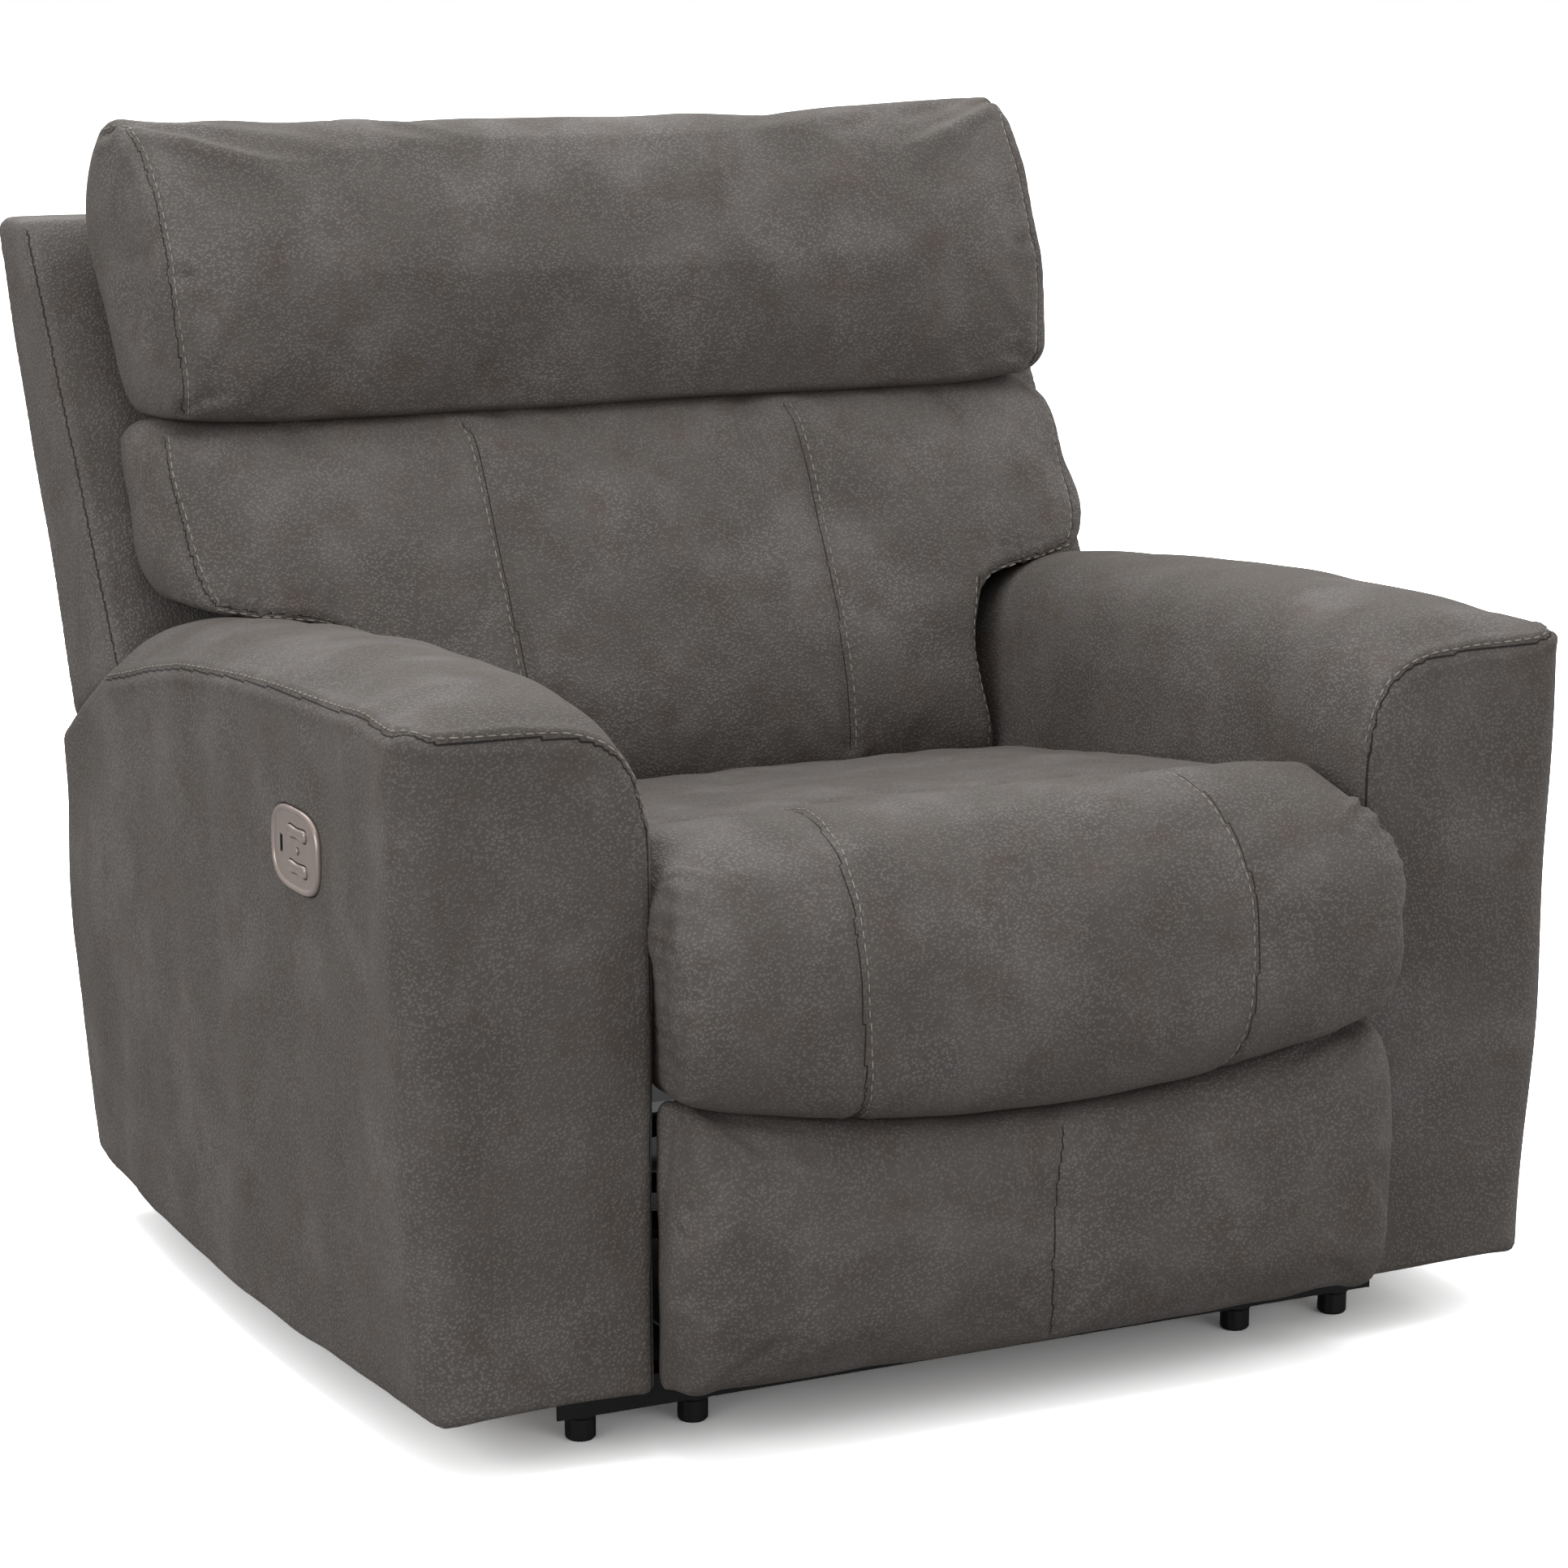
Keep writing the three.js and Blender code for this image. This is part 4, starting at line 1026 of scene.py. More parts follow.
@dataclass(frozen=True)
class AnodisedPlate(Finish):
    """Bead-blasted aluminium, anodised a warm silver: soft highlights and a fine grit."""

    def detail(self, tree: bpy.types.NodeTree, shader: bpy.types.Node) -> None:
        """Grit of 0.3 mm and a faint cloudiness in the dye."""
        roughen(tree, shader, noise(tree, 0.3, 1.0), 0.00003, 0.5)
        cloud = remap(tree, noise(tree, 12.0, 2.0), 0.4, 0.7, 0.0, 0.25)
        tree.links.new(blend_colour(tree, cloud, self.colour, "#d9cbc3"), shader.inputs["Base Color"])


@dataclass(frozen=True)
class Thread(Finish):
    """Twisted polyester thread, pale tan against the cover."""

    def detail(self, tree: bpy.types.NodeTree, shader: bpy.types.Node) -> None:
        """Slow changes of tone along a row, as the dye takes unevenly."""
        tone = remap(tree, noise(tree, 14.0, 2.0), 0.4, 0.65, 0.0, 0.7)
        tree.links.new(blend_colour(tree, tone, self.colour, "#8b8075"), shader.inputs["Base Color"])


@dataclass(frozen=True)
class StudioPaper(Finish):
    """White paper: it looks lit up to the camera, more so far away, and so it keeps only the near shadows;
    under the chair the camera sees a painted shadow.

    Attributes:
        under: how bright it looks to the camera under the chair, as a share of white paper's real light: a
            painted shadow.
        near: the same, just beside the chair.
        far: the same, three metres away.
        middle: the middle of the painted shadow patch under the chair, in metres.
        half: half that patch's size.
    """

    under: float = 0.08
    near: float = 3.1
    far: float = 4.5
    middle: Point2 = (0.05, 0.145)
    half: Point2 = (0.36, 0.395)

    def detail(self, tree: bpy.types.NodeTree, shader: bpy.types.Node) -> None:
        """Swaps in a brighter paper for what the camera and mirrors see, with a painted shadow under the
        chair.
        """
        place = add_node(tree, "ShaderNodeTexCoord").outputs["Object"]
        size = move(tree, "ABSOLUTE", move(tree, "SUBTRACT", place, (*self.middle, 0.0)))
        past = move(tree, "SUBTRACT", size, (*self.half, 0.0))
        distance = move(tree, "LENGTH", move(tree, "MAXIMUM", past, (0.0, 0.0, 0.0)))
        # painted shadow: the paper is dark under the chair and brightens within 0.1 m beyond the patch
        beside = remap(tree, distance, 0.0, 0.1, self.under, self.near, smooth=True)
        gain = remap(tree, distance, 0.1, 2.0, 1.0, self.far / self.near, smooth=True)
        shade = reckon(tree, "MULTIPLY", beside, gain)
        bright = add_node(tree, "ShaderNodeBsdfDiffuse", {}, {"Color": shade})
        mixed = add_node(tree, "ShaderNodeMixShader", {}, {
            0: seen_directly(tree), 1: shader.outputs["BSDF"], 2: bright.outputs["BSDF"]})
        tree.links.new(mixed.outputs["Shader"], tree.nodes["Material Output"].inputs["Surface"])


COVER = PebbledSuede("pebbled_suede_microfibre", "upholstery", "#6e6965", roughness=0.78)
THREAD = Thread("grey_tan_polyester_thread", "upholstery", "#aaa39a", roughness=0.7)
BLACK_STEEL = PowderCoat("black_powder_coated_steel", "black_steel", "#19191b", roughness=0.42, metallic=0.1)
LINK = PowderCoat("black_electrocoated_sheet_steel", "link_steel", "#1c1c1e", roughness=0.5, metallic=0.1)
PLY = Plywood("bare_birch_plywood", "wood", "#bf9c69", roughness=0.7)
NYLON = MouldedNylon("moulded_black_nylon", "black_plastic", "#161617", roughness=0.5)
PLATE = AnodisedPlate("warm_anodised_aluminium", "plate_metal", "#c3b4ac", roughness=0.34, metallic=0.75)
WIRE = ZincSheet("drawn_spring_wire", "spring_wire", "#85888b", roughness=0.35, metallic=0.9)
BY_SLOT: dict[str, Finish] = {f.slot: f for f in (BLACK_STEEL, LINK, PLY, NYLON, PLATE, WIRE, COVER)}


# --------------------------------------------------------------------------- cushions
CREASE_MIDDLE, CREASE_RISE, CREASE_HALF = 262.0, 41.0, 335.0


def crease_height(x: Array) -> Array:
    """Height of the smiling line where the seat's roll meets the leg rest."""
    return CREASE_MIDDLE + CREASE_RISE * np.minimum(np.abs(x) / CREASE_HALF, 1) ** 2


def stations(half: float, round_over: float, spacing: float) -> tuple[Array, Array]:
    """Places sections along a cushion.

    Args:
        half: half the cushion's length.
        round_over: length of its rounded end.
        spacing: distance between sections in its middle.

    Returns:
        Where each section is, and how full it is, from 0 to 1.
    """
    straight = np.arange(0, half - round_over, spacing)
    angle = np.linspace(0, math.pi / 2, 9)[:-1]
    end = half - round_over + round_over * np.sin(angle)
    x = np.concatenate([straight, end])
    full = np.concatenate([np.ones(len(straight)), np.cos(angle)])
    return np.concatenate([-x[::-1], x[1:]]), np.concatenate([full[::-1], full[1:]])


@dataclass
class SeatCushion:
    """The seat: a deck between the arms and a deep roll that hangs over its front edge.

    Attributes:
        shop: the shop that places it.
        half: half its width between the arms.
        front_half: the same just behind the roll, where a gap shows beside it.
        roll_half: half the roll's width, in front of the arms.
        body: the moving body it rides on.
    """

    shop: Shop
    half: float = 334.0
    front_half: float = 323.0
    roll_half: float = 340.0
    body: str = "base"

    def section(self, x: float) -> Array:
        """Returns its outline at x, as (y, z)."""
        low = float(crease_height(np.array(x))) + 1
        crown = 5 * (1 - (x / self.half) ** 2)
        return spline([
            (60, 382), (330, 382), (600, 382), (618, 400), (612, 424), (560, 437 + crown), (460, 453 + crown),
            (330, 472 + crown), (210, 488 + crown), (150, 495 + crown), (118, 500 + crown), (82, 514),
            (46, 519), (8, 511), (-32, 489), (-61, 453), (-75, 408), (-78, 358), (-72, low + 42),
            (-56, low + 15), (-28, low + 2), (12, low), (44, low + 12), (56, 330),
        ], 0, closed=True, count=190)

    def build(self) -> Upholstery:
        """Makes the seat."""
        rings = []
        for x, full in zip(*stations(1.0, 0.09, 0.035)):
            ring = self.section(x * self.half)
            middle = np.array([-6.0, 400.0])
            front = np.clip((4 - ring[:, 0]) / 8, 0, 1)
            centre = np.where(front[:, None] > 0.5, middle, ring.mean(axis=0))
            above = np.array([1 - 0.2 * (1 - full), 1 - 0.06 * (1 - full)])
            below = np.array([1 - 0.2 * (1 - full), 1 - 0.03 * (1 - full)])
            ring = centre + (ring - centre) * np.where(ring[:, 1:] > 400, above, below)
            fall = 7 * np.clip((abs(x) - 0.7) / 0.3, 0, 1) ** 2
            ring[:, 1] -= fall * np.clip((ring[:, 1] - 440) / 80, 0, 1)
            lift = ring[:, 1] - 392
            ear = self.roll_half + np.where(lift > 0, 5 - 12 * ((lift - 50) / 60) ** 2, -6 * (lift / 92) ** 2)
            between = np.interp(ring[:, 0], [-4, 60, 160], [self.front_half, self.front_half, self.half])
            out = np.clip((-4 - ring[:, 0]) / 46, 0, 1)
            width = np.where(ring[:, 0] < -4, self.front_half + (ear - self.front_half) * out**0.7, between)
            rings.append(np.column_stack([x * width, ring]))
        skin = Upholstery(loft("seat_cushion_cover", self.shop, rings), self.shop, self.seams(), seed=5)
        return stuffed(skin, Stuffing(voxel=6.0, cap=9.0, swell=0.0, stiffness=2.0), self.held, (0.9, 70.0))

    def held(self, places: Array) -> Array:
        """The skin keeps still under the seat, at its rear and beside the arms."""
        under = (places[:, 2] < 388) & (places[:, 1] > 50)
        beside = (np.abs(places[:, 0]) > self.half - 4) & (places[:, 1] > -4)
        return np.where(under | beside | (places[:, 1] > 606), 1.0, 0.0)

    def seams(self) -> tuple[Line, ...]:
        """Two seams over the roll, a shallow one behind it, and gathers at its ends."""
        lines = []
        for side in Side:
            s = side.value
            run = ((s * 173, 116, 504), (s * 177, 56, 518), (s * 183, -28, 490), (s * 187, -69, 428),
                   (s * 186, -77, 368), (s * 180, -69, 306), (s * 172, -32, 272))
            lines.append(Line(run, depth=3.4, width=6.0, lip=0.8, gather=0.5, pitch=22,
                              stitches=(s * -4.6,)))
            ear = ((s * 312, -12, 505), (s * 326, -24, 470), (s * 331, -28, 400), (s * 330, -28, 340),
                   (s * 320, -24, 300))
            lines.append(Line(ear, depth=2.5, width=8.0, gather=5.0, pitch=19, reach=46,
                              kind=LineKind.CREASE))
        back = ((-330, 140, 500), (-170, 136, 505), (0, 134, 507), (170, 136, 505), (330, 140, 500))
        lines.append(Line(back, depth=4.0, width=11.0, lip=0.5))
        return tuple(lines)


@dataclass
class LegPad:
    """The padded front of the leg rest, with one plain seam down its middle.

    Attributes:
        shop: the shop that places it.
        half: half its width, in front of the arms.
        aside: how far that part sits to the right of the chair's middle.
        between: half its width between the arms.
        body: the moving body it rides on.
    """

    shop: Shop
    half: float = 343.0
    aside: float = 6.0
    between: float = 333.0
    body: str = "leg_rest"

    def section(self, x: float) -> Array:
        """Returns its outline at x, as (y, z)."""
        top = float(crease_height(np.array(x))) - 1
        return spline([(20, 66), (21, 120), (21, 190), (20, top - 9), (13, top - 1), (-6, top), (-28, top),
                       (-44, top - 4), (-53, top - 17), (-59, top - 52), (-62, 170), (-59, 108), (-49, 74),
                       (-36, 61), (-6, 58), (14, 59)], 0, closed=True, count=130)

    def build(self) -> Upholstery:
        """Makes the pad."""
        rings = []
        for x, full in zip(*stations(1.0, 0.05, 0.03)):
            ring = self.section(x * self.half)
            centre = np.array([-26.0, 170.0])
            ring = centre + (ring - centre) * (np.array([0.55, 0.04]) * (full - 1) + 1)
            bulge = 1 - 13 / 350 * np.abs((ring[:, 1] - 178) / 118) ** 2.4
            width = np.where(ring[:, 0] < -5, self.half * bulge, self.between)
            shift = np.where(ring[:, 0] < -5, self.aside, 0.0)
            rings.append(np.column_stack([x * width + shift, ring]))
        middle = ((14, -52, 250), (4, -62, 200), (0, -62, 130), (6, -56, 68))
        skin = Upholstery(loft("leg_pad_cover", self.shop, rings), self.shop,
                          (Line(middle, depth=2.2, width=5.0, lip=0.4),), seed=11)
        return stuffed(skin, Stuffing(voxel=5.0, cap=6.0, swell=0.0, stiffness=2.0), self.held, (0.7, 80.0))

    def held(self, places: Array) -> Array:
        """The skin keeps still beside and behind the front of the pad."""
        return np.where(places[:, 1] > -2, 1.0, 0.0)


@dataclass
class LumbarCushion:
    """The back cushion: three sewn panels that pass between the arms and widen above them.

    Attributes:
        shop: the shop that places it.
        narrow: half its width between the arms.
        wide: half its width above the arms.
        lean: how far its rear face leans back for each millimetre up.
        body: the moving body it rides on.
        half_width: half its width at each height.
    """

    shop: Shop
    narrow: float = 332.0
    wide: float = 481.0
    lean: float = 0.6126
    body: str = "back"

    half_width: Callable[[Array], Array] = smooth_height([
        (404, 332), (568, 332), (580, 338), (588, 352), (594, 380), (599, 418), (604, 452), (610, 469),
        (620, 477), (700, 481), (767, 474)])

    def front(self, x: Array, z: Array) -> Array:
        """Y of the front face at a place."""
        profile = smooth_height([(400, 640), (432, 627), (480, 631), (540, 648), (600, 676), (660, 706),
                                 (710, 733), (745, 757), (762, 775), (770, 796)])
        edge = np.abs(x) / self.wide
        return profile(z) + 24 * np.clip((edge - 0.72) / 0.28, 0, 1) ** 2 + 6 * edge**2

    def build(self) -> Upholstery:
        """Makes the cushion from level sections, stacked up."""
        rings = []
        for z in np.concatenate([np.arange(404, 564, 8.0), np.arange(564, 612, 3.0),
                                 np.arange(612, 756, 8.0), [760, 764, 767]]):
            half = float(self.half_width(z))
            rear = max(773 + (z - 541) * self.lean - 4, 671 if z < 545 else 0)
            shrink = 1 - 0.5 * max((z - 748) / 19, 0) ** 2 if z > 748 else 1
            rings.append(self.level(z, half, min(rear, 900), shrink))
        skin = Upholstery(loft("lumbar_cushion_cover", self.shop, rings), self.shop, self.seams(), seed=7)
        stuffing = Stuffing(voxel=6.0, cap=14.0, swell=0.005, stiffness=3.0)
        return stuffed(skin, stuffing, self.held, (1.2, 90.0))

    def level(self, z: float, half: float, rear: float, shrink: float) -> Array:
        """Returns a level section: the front curve, rounded sides and a straight rear."""
        x = np.linspace(-1, 1, 61)
        front = self.front(x * half, np.full(61, z))
        points = [(px * half * (1 - 0.02 * (abs(px) > 0.99)), py) for px, py in zip(x, front)]
        mid = (front[-1] + rear) / 2
        points += [(half + 5, mid), (half - 6, rear), (0, rear), (-half + 6, rear), (-half - 5, mid)]
        ring = spline(points, 0, closed=True, count=180)
        centre = np.array([0.0, (front[30] + rear) / 2])
        ring = centre + (ring - centre) * np.array([1 - (1 - shrink) * 0.06, shrink])
        return np.column_stack([ring, np.full(len(ring), z)])

    def held(self, places: Array) -> Array:
        """The skin keeps still at the rear, at the bottom and beside the arms."""
        rear = places[:, 1] > 773 + (places[:, 2] - 541) * self.lean - 14
        beside = (np.abs(places[:, 0]) > self.narrow - 4) & (places[:, 2] < 590)
        return np.where(rear | beside | (places[:, 2] < 412), 1.0, 0.0)

    def seams(self) -> tuple[Line, ...]:
        """Two long seams, a gusset seam at each side, and the folds at the arm corners."""
        lines = []
        for side in Side:
            s = side.value
            long_run = ((s * 171, 772, 766), (s * 170, 742, 715), (s * 169, 700, 650), (s * 168, 664, 570),
                        (s * 167, 640, 500), (s * 166, 626, 440))
            lines.append(Line(long_run, depth=4.0, width=7.0, lip=1.0, gather=0.4, pitch=26,
                              stitches=(s * 4.6,)))
            gusset = ((s * 468, 797, 760), (s * 471, 760, 710), (s * 471, 724, 674), (s * 469, 690, 632),
                      (s * 464, 676, 616))
            lines.append(Line(gusset, depth=2.6, width=5.0, lip=0.8, gather=0.7, pitch=18, reach=20,
                              stitches=(s * -4.4,)))
            hem = ((s * 460, 676, 614), (s * 420, 668, 606), (s * 380, 664, 600), (s * 346, 660, 588))
            lines.append(Line(hem, depth=2.0, width=4.0, gather=2.6, pitch=17, reach=44, stitches=(s * 4.4,)))
            inner = ((s * 330, 672, 584), (s * 329, 650, 540), (s * 328, 634, 480), (s * 327, 629, 430))
            lines.append(Line(inner, depth=1.6, width=4.0, lip=0.5, stitches=(s * -4.4,)))
        return tuple(lines)


@dataclass
class HeadCushion:
    """The head cushion: a boxed bolster with a sewn gusset at each end.

    Attributes:
        shop: the shop that places it.
        half: half its length.
        gusset: where the end seams run.
        flare: how much longer it grows for each 100 mm towards its rear, as a share.
        body: the moving body it rides on.
    """

    shop: Shop
    flare: float = 0.015
    half: float = 479.0
    gusset: float = 458.0
    body: str = "headrest"

    def section(self, x: float) -> Array:
        """Returns its outline at x, as (y, z)."""
        b = 7 * (1 - (x / self.half) ** 2)
        return spline([(786, 768), (772 - b / 2, 782), (771 - b, 808), (776 - b, 850), (784 - b, 890),
                       (800 - b, 930), (820 - b, 968), (846 - b / 2, 1004), (876, 1037), (908, 1046),
                       (938, 1040), (964, 1022), (981, 992), (986, 955), (978, 920), (956, 880), (931, 836),
                       (909, 797), (896, 774), (882, 762), (852, 760), (820, 762)], 0, closed=True, count=160)

    def build(self) -> Upholstery:
        """Makes the cushion."""
        rings = []
        straight = list(np.arange(-432, 433, 18.0))
        ends = ((450, 1.0), (456, 0.995), (461, 0.982), (465, 0.958), (468, 0.915), (471, 0.83), (473, 0.68),
                (474, 0.4))
        places = [(-x, full) for x, full in reversed(ends)] + [(x, 1.0) for x in straight] + list(ends)
        for x, full in places:
            ring = self.section(x)
            centre = ring.mean(axis=0)
            ring = centre + (ring - centre) * full
            lift = 10 * np.clip((abs(x) - 330) / 130, 0, 1) ** 2
            ring[:, 1] += lift * np.clip((830 - ring[:, 1]) / 60, 0, 1)
            spread = 1 + self.flare * (ring[:, 0] - 850) / 100
            rings.append(np.column_stack([x * spread, ring]))
        skin = Upholstery(loft("head_cushion_cover", self.shop, rings), self.shop, self.seams(), seed=3)
        stuffing = Stuffing(voxel=6.0, cap=14.0, swell=0.005, stiffness=3.0)
        return stuffed(skin, stuffing, self.held, (1.2, 90.0))

    def held(self, places: Array) -> Array:
        """The skin keeps still at the rear and under the cushion."""
        rear = places[:, 1] > 884 + (places[:, 2] - 766) * 0.573
        return np.where(rear | (places[:, 2] < 772), 1.0, 0.0)

    def seams(self) -> tuple[Line, ...]:
        """The end gussets, with a pinch at their upper corners, and tucks at the lower ones."""
        lines = []
        for side in Side:
            s, g = side.value, side.value * self.gusset
            end = ((930, 1026), (890, 1030), (852, 1004), (822, 960), (798, 905), (784, 850), (774, 800),
                   (780, 770))
            run = tuple((g * (1 + self.flare * (y - 850) / 100), y, z) for y, z in end)
            lines.append(Line(run, depth=3.0, width=6.0, lip=1.0, gather=0.8, pitch=20, reach=22,
                              stitches=(s * -4.4,)))
            tuck = ((g, 802, 912), (s * 448, 792, 905), (s * 430, 786, 902))
            lines.append(Line(tuck, depth=3.0, width=7.0, kind=LineKind.CREASE))
            low = ((s * 462, 780, 776), (s * 436, 772, 790), (s * 404, 770, 800))
            lines.append(Line(low, depth=4.0, width=8.0, kind=LineKind.CREASE))
        return tuple(lines)


# --------------------------------------------------------------------------- arms
@dataclass
class Arm:
    """A padded arm: one wrap over its side and front, and a crowned top panel sewn to it.

    Attributes:
        shop: the shop that places it.
        side: which arm it is.
        outer: widest point of the arm.
        inner: its inner face.
        depth: front to rear.
        bottom: its lowest point.
        voxel: size of its skin's squares.
        body: the moving body it rides on.
        seam_line: height of the side seam along the arm.
        crown_line: height of the top along the arm.
    """

    shop: Shop
    side: Side
    outer: float = 540.0
    inner: float = 337.0
    depth: float = 902.0
    bottom: float = 54.0
    voxel: float = 4.1
    body: str = "base"
    seam_line: Callable[[Array], Array] = smooth_height([
        (0, 617), (100, 616), (197, 612), (330, 606), (448, 597), (605, 577), (717, 551), (773, 538),
        (902, 465)])
    crown_line: Callable[[Array], Array] = smooth_height([
        (0, 617), (30, 631), (90, 640), (195, 642), (354, 637), (440, 630), (550, 620), (661, 608),
        (744, 592), (830, 548), (902, 484)])

    def ring(self, y: float) -> Array:
        """Returns the outline of a full section at y, as (x, z)."""
        crown, seam = float(self.crown_line(y)), float(self.seam_line(y))
        droop = 1 + 0.35 * float(np.clip((y - 480) / 160, 0, 1))
        along = min(max(y / self.depth, 0.0), 1.0)
        full = math.sin(math.pi * along) ** 0.8
        low = self.bottom - 8 * full + 4 * math.exp(-((y / 120) ** 2))
        shoulder = [(408, 4), (382, 12), (362, 27), (349, 48), (342, 73), (self.inner, 98)]
        corners = [(self.inner, low, 4), (self.outer - 24 + 22 * full, low, 6),
                   (self.outer - 9 + 10 * along + 10 * full, 300, 400),
                   (self.outer - 3.5 + 4 * full, min(479.0, seam - 60), 400), (self.outer, seam, 5),
                   (500, seam + 0.8 * (crown - seam), 60), (450, crown, 60),
                   *((x, crown - drop * droop, 60) for x, drop in shoulder)]
        points: list[Array] = []
        for k, (x, z, radius) in enumerate(corners):
            here = np.array([x, z])
            before = np.array(corners[k - 1][:2]) - here
            after = np.array(corners[(k + 1) % len(corners)][:2]) - here
            reach = min(radius, 0.45 * np.linalg.norm(before), 0.45 * np.linalg.norm(after))
            start = here + before / np.linalg.norm(before) * reach
            end = here + after / np.linalg.norm(after) * reach
            points += [(1 - t) ** 2 * start + 2 * t * (1 - t) * here + t**2 * end
                       for t in np.linspace(0, 1, 9)]
        line = np.vstack([points, points[:1]])
        along = along_line(line)
        want = np.linspace(0, along[-1], 300, endpoint=False)
        return np.column_stack([np.interp(want, along, line[:, k]) for k in (0, 1)])

    def drawn_in(self, ring: Array, y: float) -> Array:
        """Rounds the arm's front and rear edges, most at the outer upright corner, which stands proud."""
        out = outward(ring)
        radius = np.where(out[:, 0] > 0.7, 38.0, 3.5)
        proud = np.where(out[:, 0] > 0.7, 14.0, 0.0)
        for _ in range(14):
            radius = (radius + np.roll(radius, 1) + np.roll(radius, -1)) / 3
            proud = (proud + np.roll(proud, 1) + np.roll(proud, -1)) / 3
        proud *= math.exp(-(((y - 25) / 90) ** 2))
        if y > self.depth / 2:
            radius = np.full(len(ring), 5.0)
        room = np.clip(1 - min(y, self.depth - y) / radius, 0, 1)
        return ring - out * (radius * (1 - np.sqrt(1 - room**2)) - proud)[:, None]

    def build(self) -> Upholstery:
        """Makes the arm, with its recess for the back and the pockets in it."""
        front = np.array([0, 0.3, 0.9, 1.8, 3, 4.5, 6.5, 9, 12, 16, 21])
        along = np.concatenate([front, [26, 31, 36, 42], np.arange(48, 870, 8.0), self.depth - front[::-1]])
        rings = []
        for y in along:
            ring = self.drawn_in(self.ring(y), y)
            rings.append(np.column_stack([self.side.value * ring[:, 0], np.full(len(ring), y), ring[:, 1]]))
        name = f"arm_cover_{self.side.name.lower()}_padded"
        soft = Upholstery(loft(name, self.shop, rings), self.shop, self.seams(), seed=20 + self.side.value)
        remesh(soft.piece, self.voxel)
        relax(soft.piece, 1)
        soft.ripple(1.1, 120.0, (1.0, 1.0, 2.2))
        soft.sew()
        carve(soft.piece, self.cutters())
        return soft

    def seams(self) -> tuple[Line, ...]:
        """One seam up the inner front edge, and one round the top panel: over the front, along the side."""
        s = self.side.value
        edge = ((339, 1, 60), (339, 1, 200), (339, 1, 400), (340, 1, 500), (343, 0, 535), (349, -1, 562))
        over = ((343, 0, 540), (349, -1, 562), (361, -1, 584), (380, -1, 598), (404, -1, 606), (450, -1, 610),
                (490, -1, 611), (512, 0, 612), (529, 8, 613), (540, 24, 614), (545, 46, 615))
        side = tuple((541.0, float(y), float(self.seam_line(y))) for y in (100, 200, 330, 450, 605, 717, 760))
        return (Line(tuple((s * x, y, z) for x, y, z in edge), depth=1.2, width=3.6, lip=0.6),
                Line(tuple((s * x, y, z) for x, y, z in (*over, *side)), depth=2.2, width=4.2, lip=1.0,
                     stitches=(s * 4.4,)))

    def cutters(self) -> list[bpy.types.Object]:
        """Returns the closed shapes cut out of the arm."""
        s = self.side.value
        recess = [(746, 700), (750, 578), (772, 528), (797, 484), (884, 358), (930, 320), (930, 700)]
        tools = [prism("recess_tool", self.shop, recess, s * 320, s * 528)]
        panel = [(49.6, 43), (49.6, 560.4), (420.4, 560.4), (700.4, 500.4), (780.4, 440), (840.4, 350),
                 (840.4, 43)]
        tools.append(prism("panel_tool", self.shop, panel, s * 383.6, s * 402.4))
        if self.side is Side.LEFT:
            plate = ControlPanel(self.shop)
            tools.append(plate.pad("plate_tool", plate.outline, ((560.0, 1.6), (533.0, 1.0))))
            low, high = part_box("control_box")
            (_, y0, z0), (_, y1, z1) = self.shop.measure(np.array([low, high]))
            hole = [(y0 - 0.4, z0 - 0.4), (y1 + 0.4, z0 - 0.4), (y1 + 0.4, z1 + 0.4), (y0 - 0.4, z1 + 0.4)]
            tools.append(prism("box_tool", self.shop, hole, -504.0, -534.0))
        return tools


